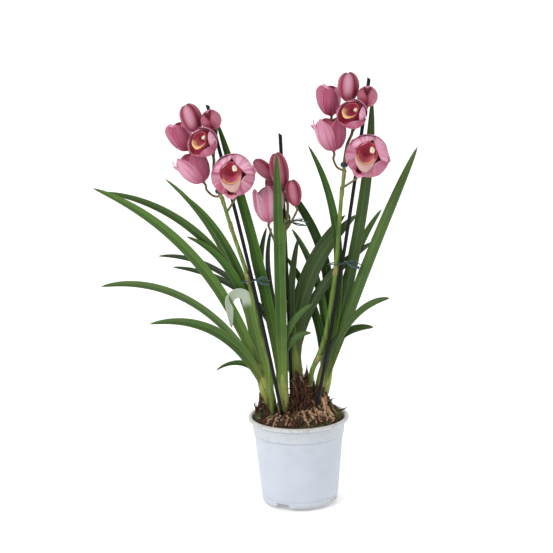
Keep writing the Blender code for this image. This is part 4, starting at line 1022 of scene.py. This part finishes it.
def build_bud(label, foot, turn, height, radius, brown, rng):
    """Closed bud: its round section swells between three seams, where one sepal's edge stands over the next, and its
    tip is a small dimple, or, on the side buds, gapes a little."""
    gaping = label.endswith("side_bud")
    rows, columns = BUD_GRID
    profile = spline(np.stack([GAPING_HEIGHTS, GAPING_SWELL] if gaping else [BUD_HEIGHTS, BUD_SWELL], 1), rows)
    along, body = profile[:, :1], profile[:, 1:]
    angles = ring(columns)
    seams = np.radians(BUD_SEAMS)
    after = np.mod(angles - seams[:, None, None] - 0.1 * along, 2 * pi)
    sepal = np.argmin(after, 0)
    since, span = after.min(0), np.mod(np.roll(seams, -1) - seams, 2 * pi)[sepal]
    share = np.clip(since / span, 0, 1)
    to_seam = np.minimum(since, span - since)
    swell = 0.035 * np.sin(pi * share) + 0.03 * np.exp(-since / 0.35) - 0.03 * hump(to_seam, 0.05)
    out = np.maximum(body, 0.02) * radius * (0.965 + swell * rise(along, 0, 0.12))
    if gaping:
        out = out * (1 + (0.55 * hump(to_seam, 0.45) - 0.25) * rise(along, 0.88, 0.08))
    dip = np.clip((0.35 - body) / 0.35, 0, 1) * rise(along, 0.9, 0.1)
    near = hump(to_seam, 0.16)
    lower = (0.05 * near + np.array(SEPAL_LOWER)[sepal]) * rise(along, 0.8, 0.2) ** 2
    grid = polar(out, angles, (along - 0.05 * dip - lower) * height)
    # painted shade: the second and third sepals darkened through the brown tone
    shade = np.array(SEPAL_PAINTED_SHADE)[sepal]
    tone = (np.clip(brown + shade * (1 - brown), 0, 1), rng.uniform(), near, np.sin(pi * share) ** 1.5)
    sheets = Sheets()
    sheets.add(carried(grid, foot, turn), tone, v=np.maximum.accumulate(along[:, 0]))
    sheets.piece(label + "_sepals", "bud", [label])


def lip_sheet(radius, height, lobe):
    """A lip: a bowl that closes all round, its rim running out into a front lobe that turns down, with two keels."""
    bowl_rows, lobe_rows = LIP_ROWS
    bowl = spline(np.array(LIP_BOWL) * [radius, height], bowl_rows)
    across = ramp(61, -1)
    away = np.abs(across)
    tongue = hump(across * LIP_TONGUE_SPAN, LIP_TONGUE_ANGLE)
    step = (0.03 + lobe * tongue) * radius / lobe_rows
    down = np.radians(ramp(lobe_rows, 70.0, -70.0))[:, None] * np.clip(tongue * 1.6, 0, 1)
    reach, up = (
        np.concatenate([bowl[:, [axis]] + 0 * across, bowl[-1, axis] + np.cumsum(step * part(down), 0)])
        for axis, part in enumerate((np.cos, np.sin))
    )
    inward = ramp(sum(LIP_ROWS))[:, None]
    angle = radians(270.0) + across * radians(LIP_HALF_ANGLE)
    ruffle = 1 + 0.035 * np.sin(across * 17) * inward**3
    keels = 0.07 * height * hump(away - 0.07, 0.035) * hump(inward - 0.34, 0.12)
    return xyz(
        reach * np.cos(angle) * 0.94 * ruffle + LIP_SHIFT[0] * radius,
        reach * np.sin(angle) * (1 + 0.16 * np.clip(away - 0.35, 0, 1)) * ruffle + LIP_SHIFT[1] * radius,
        up + 0.05 * height * np.clip(away - 0.3, 0, 1) * (up / height) ** 2 + keels,
    )


def build_open(label, foot, turn, pattern, height, radius, rng):
    """Open bloom: sepals outside petals on a small turned knob, and in a bloom that faces forwards the lip and a
    column, a flattened rod along its own curve."""
    tepals, roll, lobe, point, stripes = pattern
    turn = turn @ about_z(roll)
    sheets = Sheets()
    knob = spline(KNOB, 12)
    path = carried(xyz(0, 0, knob[:, 0] * KNOB_LENGTH - 0.0004), foot, turn)
    sheets.rod(path, np.maximum(knob[:, 1], 0.1) * KNOB_RADIUS, 20)
    for row in tepals:
        sheet = tepal_sheet(radius, height, row, point, rng.uniform(0, 6))
        sheets.shell(carried(sheet, foot, turn), TEPAL_THICKNESS, row[-1], rng.uniform(), stripes)
    sheets.piece(label + "_petals", "petal", [label])
    if not lobe:
        return
    sheets = Sheets()
    golden = float(lobe < 0.3)
    sheets.shell(carried(lip_sheet(radius, height, lobe)[:, ::-1], foot, turn), TEPAL_THICKNESS, golden, 0, 0)
    sheets.piece(label + "_lip_fine", "lip", [label + "_lip"])
    column = spline(np.array(COLUMN_RUN) * [radius, radius, height, radius], 30)
    sheets = Sheets()
    sheets.rod(carried(column[:, :3], foot, turn), column[:, 3], 20, flat=0.85)
    sheets.piece(label + "_column_fine", "column", [label + "_column"])


def bract(sheets, point, along, side, length, radius, paleness):
    """A papery sheath that clasps the stem at a joint: its radius widens with the square of the height, and its half
    angle closes to a point as a quarter circle does."""
    turn = np.array([side, np.cross(along, side), along]).T
    share = ramp(16)[:, None]
    angle = ramp(13, -1) * radians(150) * np.sqrt(np.clip(1 - share**2, 0.002, 1))
    grid = polar(radius * (1.12 + 0.3 * share**2), angle, share * length)
    sheets.shell(carried(grid, point, turn), BRACT_THICKNESS, 0.0, paleness, 0.5)


def stalk_line(side, name, begin, end, aim):
    """A bloom's stalk: a spline from the stem past the points of its route, or past one point with a little sag, that
    comes into the bloom's foot along its aim."""
    length = np.linalg.norm(end - begin)
    bend = end - aim * min(PEDICEL_BEND[0], PEDICEL_BEND[1] * length)
    middle = [begin + 0.35 * (bend - begin) - [0, 0, PEDICEL_SAG * length]]
    if side != "centre" and name in STALK_ROUTES:
        middle = turned(STALK_ROUTES[name], side)
    if name == "back_bud":
        middle = BACK_STALK
    return spline([begin, *middle, bend, end], STALK_POINTS)


def build_spike(side, blooms):
    """A flower stem, a rod with a bell-shaped swelling at each joint, its bracts and stalks, and the blooms and buds on
    them."""
    rng = np.random.default_rng(SPIKE_SEEDS[side])
    rows = stem_spine(side)
    sheets = Sheets()
    fine = spline(rows, STEM_POINTS)
    share = ramp(STEM_POINTS)
    joints = sum(hump(share - place, 0.006) for place, *_ in BRACTS[side])
    browning = rise(share, 0.55, 0.25)[:, None] * 0.85
    sheets.rod(fine[:, :3], fine[:, 3] * (1 + 0.16 * joints), STEM_SIDES, (browning, 0, 0.5, 0))
    tangent = unit(np.gradient(fine[:, :3], axis=0))
    for place, way, length, paleness in BRACTS[side]:
        index = int(place * (STEM_POINTS - 1))
        toward = np.array([way, -0.5, 0.0])
        out = unit(toward - tangent[index] * (toward @ tangent[index]))
        bract(sheets, fine[index, :3], tangent[index], out, length, fine[index, 3], paleness)
    for name, foot, aim, form, height, radius, start in blooms:
        foot = turned(foot, side)
        turn = spike_turn(side) @ frame_along(aim)
        aim = turn[:, 2]
        line = stalk_line(side, name, rows[start, :3], foot - aim * 0.0002, aim)
        widths = PEDICEL_RADIUS * (1 + (PEDICEL_END - 1) * ramp(STALK_POINTS) ** 3)
        sheets.rod(line, widths, STALK_SIDES, (0.85, 0, 0.5, 0))
        label = side + "_" + name
        if form == "bud":
            brown = 0.6 if side == "centre" else 0.25 * (name == "side_bud")
            build_bud(label, foot, turn, height, radius, brown, rng)
        else:
            pattern = OPEN_BLOOMS.get(label) or OPEN_BLOOMS[name]
            build_open(label, foot, turn, pattern, height, radius, rng)
    sheets.piece("stem_" + side, "stem", ["spike_" + side])


# ---- Stakes, ties and clips


def build_stakes():
    """Thin rods: a straight line bowed along x by half a sine, its last ring slid along it to a slanting cut."""
    for side, (foot, top, bow) in STAKES.items():
        share = ramp(40)[:, None]
        line = np.array(foot) * (1 - share) + np.array(top) * share
        line[:, 0] += bow * np.sin(pi * share[:, 0])
        sheets = Sheets()
        sheets.rod(line, STAKE_RADIUS, STAKE_SIDES)
        end = sheets.points[-1][-STAKE_SIDES:]
        tangent = unit(np.gradient(line, axis=0))[-1]
        end -= tangent * tan(radians(STAKE_CUT_DEGREES)) * (end[:, :1] - line[-1, 0])
        sheets.piece("rod_" + side, "stake", ["stake_" + side])


def build_ties():
    """Flat twisted ribbons: most of an ellipse round stem and stake, tipped by a cosine, both ends run out at the
    knot, with folded strands there."""
    for side, ((x, y, z), half_x, half_y, prong) in TIES.items():
        angles = np.radians(ramp(11, 20, 340))
        loop = xyz(x + half_x * np.cos(angles), y + half_y * np.sin(angles), z + 0.001 * np.cos(angles))
        prong = np.array(prong)
        aside = np.array([0.001, 0, 0])
        start, end = loop[0] + aside, loop[-1] + aside
        first = loop[0] + prong * 0.7 + [0, 0, 0.0045]
        sheets = Sheets()
        path = np.vstack([first, start, loop[1:-1], end, loop[-1] + prong])
        sheets.rod(spline(path, 120), TIE_RADIUS * 2.0, 12, flat=0.34, twist=7.0)
        knot = (loop[0] + loop[-1]) / 2
        for lift, reach in TIE_STRANDS:
            near = knot + [0.001, -0.001, 0]
            far = near + [prong[0] * reach, prong[1] * reach - 0.001, lift + prong[2] * 0.5 * reach]
            middle = (near + far) / 2 + [0, -0.0012, 0.0016 * np.sign(lift)]
            sheets.rod(spline((near, middle, far), 26), TIE_RADIUS * 1.7, 12, flat=0.36, twist=3.0 + lift * 400)
        sheets.rod(spline([start, knot + [0.003, 0, 0], end], 24), TIE_RADIUS * 2.0, 12, flat=0.5, twist=3.0)
        sheets.piece("twist_" + side, "tie", ["tie_" + side])


def build_clips():
    """Short dark sleeves on the two tall stems: a closed profile turned about the stem's direction."""
    for side in ("left", "right"):
        rows = stem_spine(side)
        along = unit(rows[CLIP_PLACE + 1, :3] - rows[CLIP_PLACE, :3])
        out = (rows[CLIP_PLACE, 3] + 0.0004) * 1.06
        profile = np.array(CLIP_PROFILE)
        grid = polar(out * profile[:, :1], ring(CLIP_SIDES), profile[:, 1:] * CLIP_LENGTH)
        grid = carried(grid, rows[CLIP_PLACE, :3] + along * CLIP_DISTANCE, frame_along(along))
        sheets = Sheets()
        sheets.add(grid[::-1, ::-1], u=2 * pi, caps=False)
        sheets.piece("sleeve_" + side, "clip", ["clip_" + side])


# ---- Pot and mix


def build_pot():
    """Turned profile: rolled rim, collar, tapering wall, foot ring, floor; four channels lift the foot's lower edge."""
    bend = np.radians(ramp(14, -60, 170))
    roll = [*zip(RIM_RADIUS - RIM_ROLL + RIM_ROLL * np.sin(bend), RIM_TOP - RIM_ROLL + RIM_ROLL * np.cos(bend))]
    foot, floor = BASE_RADIUS - FOOT_WIDTH, FOOT_HEIGHT + FLOOR
    outer = [
        (COLLAR_RADIUS + 0.0008, RIM_TOP - 0.005),
        (COLLAR_RADIUS, RIM_TOP - 0.0058),
        (COLLAR_LOW_RADIUS, COLLAR_BOTTOM + 0.0004),
        (COLLAR_LOW_RADIUS - 0.0003, COLLAR_BOTTOM),
        (WALL_RADIUS_TOP, COLLAR_BOTTOM - 0.0009),
        (WALL_RADIUS_TOP - 0.0004, COLLAR_BOTTOM - 0.003),
        (BASE_RADIUS + 0.0008, 0.006),
        (BASE_RADIUS + 0.0004, 0.0016),
        (BASE_RADIUS, 0.0004),
        (BASE_RADIUS - 0.001, 0.0),
        (foot + 0.0006, 0.0),
        (foot, 0.0005),
        (foot - 0.0015, FOOT_HEIGHT - 0.0004),
        (foot - 0.002, FOOT_HEIGHT),
        (FOOT_DISC_RADIUS + 0.0015, FOOT_HEIGHT),
        (FOOT_DISC_RADIUS, 0.0),
        (0.0, 0.0),
    ]
    inner = [
        (0.0, floor),
        (BASE_RADIUS - WALL - 0.0012, floor),
        (BASE_RADIUS - WALL + 0.0001, floor + 0.0014),
        (WALL_RADIUS_TOP - WALL, COLLAR_BOTTOM),
        (COLLAR_RADIUS - WALL, RIM_TOP - 0.005),
        (RIM_RADIUS - RIM_ROLL - 0.0026, RIM_TOP - 0.002),
    ]
    angles = ring(POT_SIDES)
    sheets = Sheets()
    for rows, split, has_foot in ((roll + outer, 5, True), (inner + roll[:1], 3, False)):
        share = ramp(split + 1)[:-1, None]
        dense = [a + (b - a) * share for a, b in zip(np.array(rows[:-1]), np.array(rows[1:]))]
        dense = np.concatenate([*dense, rows[-1:]])
        radius, z = np.maximum(dense[:, :1], 0.0002), dense[:, 1:] + 0 * angles
        if has_foot:
            away = np.abs((np.degrees(angles) - np.array(CHANNEL_AZIMUTHS)[:, None] + 180) % 360 - 180).min(0)
            lift = np.clip((CHANNEL_WIDTH / 2 - np.radians(away) * BASE_RADIUS) / 0.0008, 0, 1)
            low = (radius > BASE_RADIUS - 0.0052) & (z < CHANNEL_HEIGHT)
            z = np.where(low, z + (CHANNEL_HEIGHT - z) * lift, z)
        sheets.add(polar(radius, angles, z)[:, ::-1], u=2 * pi, caps=False)
    sheets.piece("nursery_pot", "pot", ["pot"])


def mix_height(x, y):
    """Height of the bark surface: a dome, a power of one less the squared share of the radius, with heaps that are each
    a bell along x times a bell along y."""
    spread = np.clip(1 - (x * x + y * y) / MIX_RADIUS**2, 0, 1)
    height = MIX_EDGE + MIX_DOME * spread**0.8
    for heap_x, heap_y, tall, wide, deep in MIX_HEAPS:
        height = height + tall * hump(x - heap_x, wide) * hump(y - heap_y, deep) * spread**0.35
    return height


def on_mix(distance, way, lift=0.0):
    """A point on the bark surface at a distance and direction from the axis."""
    x, y = distance * cos(way), distance * sin(way)
    return np.array([x, y, mix_height(x, y) + lift])


def lumps(x, y, rng):
    """Rough relief: plane sine waves of three lengths, each with a random direction and phase, added up."""
    total = np.zeros_like(x)
    for size, strength in ((0.012, 0.001), (0.006, 0.0008), (0.003, 0.0005)):
        for _ in range(5):
            way = rng.uniform(0, 2 * pi)
            phase = rng.uniform(0, 2 * pi)
            total += strength * np.sin((x * cos(way) + y * sin(way)) / size * 2 * pi + phase) / 2
    return total


def build_bark(rng):
    """The body of the mix, rings that follow its surface inwards from the rim, and short thick flakes on it: rough
    ellipsoids at random turns, spread evenly by area."""
    sheets = Sheets()
    radius = np.concatenate([[0.0455, MIX_RADIUS - 0.0006], ramp(60, 1, 0.004) * MIX_RADIUS])[:, None]
    grid = polar(radius, ring(180), 0)
    x, y = grid[..., 0], grid[..., 1]
    z = mix_height(x, y) + lumps(x, y, rng) * np.clip((MIX_RADIUS - radius) / 0.006, 0, 1)
    z[0], z[1] = 0.009, MIX_EDGE - 0.004
    sheets.add(xyz(x, y, z), (0.5, 0.1, 0, 0), 2 * pi)
    away = STREW_RADIUS * np.sqrt(rng.uniform(0, 1, CHIPS))
    share = ramp(5, -1)[:, None]
    body = np.sqrt(np.clip(1.08 - share**2, 0.05, 1))
    angles = ring(7)
    for distance, way in zip(away, rng.uniform(0, 2 * pi, CHIPS)):
        size = rng.uniform(0.0006, 0.0015) if rng.uniform() < 0.8 else rng.uniform(0.0016, 0.0028)
        long = size * rng.uniform(1.3, 2.6)
        turn = np.linalg.qr(rng.normal(size=(3, 3)) * [1, 1, 0.6])[0]
        x = body * np.cos(angles) * size * (1 + 0.3 * rng.uniform(-1, 1, (5, 7)))
        y = body * np.sin(angles) * size * 0.5 * (1 + 0.3 * rng.uniform(-1, 1, (5, 7)))
        red = float(rng.uniform() < 0.25)
        chip = carried(xyz(x, y, share * long), on_mix(distance, way, 0.0002), turn)
        sheets.add(chip, (rng.uniform(), red, 0, 0))
    sheets.piece("bark_mix", "bark", ["potting_mix"], smooth=False)


def build_scraps(rng):
    """Ragged dry sheaths that spread about the feet of the shoots, their width waved by a sine, a steep heap of fibres,
    each a straight run plus a bend by the square of its length, and loose twigs."""
    sheets = Sheets()
    for *ends, size in SCRAPS:
        foot, tip = np.reshape(ends, (2, 3))
        axis, reach = unit(tip - foot), np.linalg.norm(tip - foot)
        for blade in range(9):
            way = blade * 2.4 + rng.uniform(-0.3, 0.3)
            out = unit(np.cross(axis, [cos(way), sin(way), 0.2]))
            length = reach * rng.uniform(0.55, 1.0)
            share = ramp(12)[:, None]
            path = foot - axis * 0.004 + axis * share * (length + 0.004) + out * size * (1 - share) ** 0.8 * 0.9
            path = path + out * 0.001 * np.sin(share * 5 + way)
            half = size * 0.55 * np.maximum(1 - share**1.5, 0.04) * (1 + 0.25 * np.sin(share * 23 + way * 7))
            half, span = half[:, None], ramp(5, -1)[:, None]
            grid = path[:, None] + unit(np.cross(axis, out)) * half * span - out * half * 0.5 * span**2
            pale = float(rng.uniform() < 0.15) * 0.6
            sheets.shell(grid, SCRAP_THICKNESS, rng.uniform(), rng.uniform(0, 1), pale)
    x, y, tall, wide = FIBRE_CROWN
    for _ in range(FIBRES):
        up = rng.uniform(0, 1) ** 1.5
        way, away = rng.uniform(0, 2 * pi), wide * (1 - 0.78 * up) * rng.uniform(0.3, 1) ** 0.5
        foot = np.array([x + away * cos(way), y + 0.8 * away * sin(way), 0.0])
        foot[2] = mix_height(foot[0], foot[1]) - 0.002 + up * tall
        aim = np.array([cos(way), sin(way), 0.0]) * rng.uniform(-0.1, 0.8) + rng.normal(0, 0.35, 3) + [0, 0, 0.75]
        aim, bend = unit(aim), rng.normal(0, 0.0016, 3)
        share = ramp(6)[:, None]
        path = foot + aim * share * rng.uniform(0.005, 0.013) + bend * share**2
        half = rng.uniform(0.0007, 0.0022) * (1 - 0.85 * share**1.6) * (1 + 0.35 * np.sin(share * 17 + way))
        side = unit(np.cross(aim, rng.normal(0, 1, 3)))
        grid = path[:, None] + side * half[:, None] * ramp(3, -1)[:, None]
        random, red, pale = rng.uniform(), float(rng.uniform() < 0.4), 0.5 * float(rng.uniform() < 0.12)
        sheets.shell(grid, FIBRE_THICKNESS, random, red, pale)
    for *ends, size in TWIGS:
        start, end = np.reshape(ends, (2, 3))
        line = spline((start, (start + end) / 2 + [0, 0, 0.0012], end), 14)
        sheets.rod(line, size * (1 - 0.6 * ramp(14)), 8, (rng.uniform(), 0.3, 0.25, 0))
    sheets.piece("dry_sheaths", "bark", ["potting_mix"])


def build_moss(rng):
    """Moss tufts against the rim: short rods leaning at random, gathered about each patch by normal draws."""
    sheets = Sheets()
    for around, spread, depth, count in MOSS:
        for _ in range(count):
            way = radians(around + rng.normal(0, spread))
            base = on_mix(STREW_RADIUS - abs(rng.normal(0, depth)), way, 0.0004)
            tip = base + [rng.normal(0, 0.001), rng.normal(0, 0.001), rng.uniform(0.0012, 0.0034)]
            sheets.rod(spline((base, (base + tip) / 2, tip), 4), TUFT_RADII, 5, (rng.uniform(), 0, 0, 0))
    sheets.piece("moss", "moss", ["potting_mix"])


def build_perlite(rng):
    """Pale grains on the bark: flattened spheres whose radius is varied at random."""
    sheets = Sheets()
    share, angles = ramp(6, -1)[:, None], ring(8)
    for x, y in PERLITE:
        size = rng.uniform(0.0007, 0.0013)
        body = np.sqrt(np.clip(1.04 - share**2, 0.04, 1)) * (1 + 0.16 * rng.uniform(-1, 1, (6, 8)))
        grain = polar(body * size, angles, share * size * 0.8) + [x, y, mix_height(x, y) + 0.0012]
        sheets.add(grain, (rng.uniform(), 0, 0, 0))
    sheets.piece("perlite", "perlite", ["potting_mix"])


def build_roots(rng):
    """The roots of the table, then thin random ones: straight runs over the bark, swayed and knobbed by sines, that dip
    at both ends."""
    sheets = Sheets()
    for index in range(len(ROOTS) + THIN_ROOTS):
        if index < len(ROOTS):
            ax, ay, bx, by, size = ROOTS[index]
        else:
            ax, ay = rng.uniform(-0.03, 0.04), rng.uniform(-0.026, 0.004)
            way = rng.normal(-pi / 2 + ax * 14, 0.4)
            reach = rng.uniform(0.012, 0.03)
            bx, by = ax + reach * cos(way), ay + reach * sin(way)
            size = rng.uniform(0.0007, 0.0015)
            inside = min(1, 0.05 / hypot(bx, by))
            bx, by = bx * inside, by * inside
        share = ramp(28)
        sway = rng.uniform(-1, 1, 4) * 0.0016
        x = ax + (bx - ax) * share + sway[0] * np.sin(share * 5) + sway[1] * np.sin(share * 11)
        y = ay + (by - ay) * share + sway[2] * np.sin(share * 4 + 1) + sway[3] * np.sin(share * 12)
        ends = 0.004 * np.maximum(share - 0.85, 0) / 0.15 + 0.003 * np.maximum(0.12 - share, 0) / 0.12
        z = mix_height(x, y) + size * 0.6 + 0.0008 * np.sin(share * 7 + index) - ends
        knobs = 1 + 0.16 * np.sin(share * 19 + index * 2) + 0.1 * np.sin(share * 43 + index)
        green = float(rng.uniform() < 0.22)
        sheets.rod(xyz(x, y, z), size * knobs * (1 - 0.35 * share), 10, (rng.uniform(), green, 0, 0))
    sheets.piece("bare_roots", "root", ["roots"])


build_shoots()
build_spike("left", SPIKE_BLOOMS)
build_spike("right", SPIKE_BLOOMS)
build_spike("centre", CENTRE_BLOOMS)
build_stakes()
build_ties()
build_clips()
build_pot()
mix_rng = np.random.default_rng(MIX_SEED)
for build in (build_bark, build_scraps, build_moss, build_perlite, build_roots):
    build(mix_rng)


# ---- Stage


def placed(name, data, place, heading, roll=0.0):
    """A lamp or camera at a place, looking along heading."""
    obj = bpy.data.objects.new(name, data)
    turn = Vector(heading).to_track_quat("-Z", "Y").to_matrix().to_4x4() @ Matrix.Rotation(radians(roll), 4, "Z")
    obj.matrix_world = Matrix.Translation(place) @ turn
    bpy.context.scene.collection.objects.link(obj)
    return obj


def build_stage():
    """A pale floor that curves up into a backdrop, soft light from all round, and the camera."""
    glow = {"Color": (1.0, 1.0, 1.0, 1.0), "Strength": 0.3}
    material = Graph("floor_white").finish(rgb(250, 250, 250), 0.9, **glow)
    curve = spline(FLOOR_CURVE, 60)[:, None]
    points = xyz(ramp(2, -4, 4), curve[..., 0], curve[..., 1])
    index = np.arange(120).reshape(60, 2)
    faces = np.stack([index[:-1, 0], index[:-1, 1], index[1:, 1], index[1:, 0]], -1)
    mesh = bpy.data.meshes.new("floor")
    mesh.from_pydata(points.reshape(-1, 3).tolist(), [], faces.tolist())
    mesh.polygons.foreach_set("use_smooth", [True] * len(mesh.polygons))
    mesh.materials.append(material)
    floor = bpy.data.objects.new("floor", mesh)
    bpy.context.scene.collection.objects.link(floor)
    world = bpy.data.worlds.new("studio")
    world.use_nodes = True
    world.node_tree.nodes["Background"].inputs["Color"].default_value = (1, 1, 1, 1)
    world.node_tree.nodes["Background"].inputs["Strength"].default_value = WORLD_STRENGTH
    bpy.context.scene.world = world
    bpy.context.scene.view_settings.view_transform = "Standard"
    for name, place, size, energy in LIGHTS:
        light = bpy.data.lights.new(name, "AREA")
        light.size, light.energy = size, energy
        placed(name, light, place, Vector(LIT_POINT) - Vector(place))
    camera = bpy.data.cameras.new("camera")
    camera.sensor_width, camera.lens = 36.0, CAMERA_LENS
    heading = (0, cos(radians(CAMERA_DOWN)), -sin(radians(CAMERA_DOWN)))
    bpy.context.scene.camera = placed("camera", camera, CAMERA_PLACE, heading, CAMERA_ROLL)


build_stage()
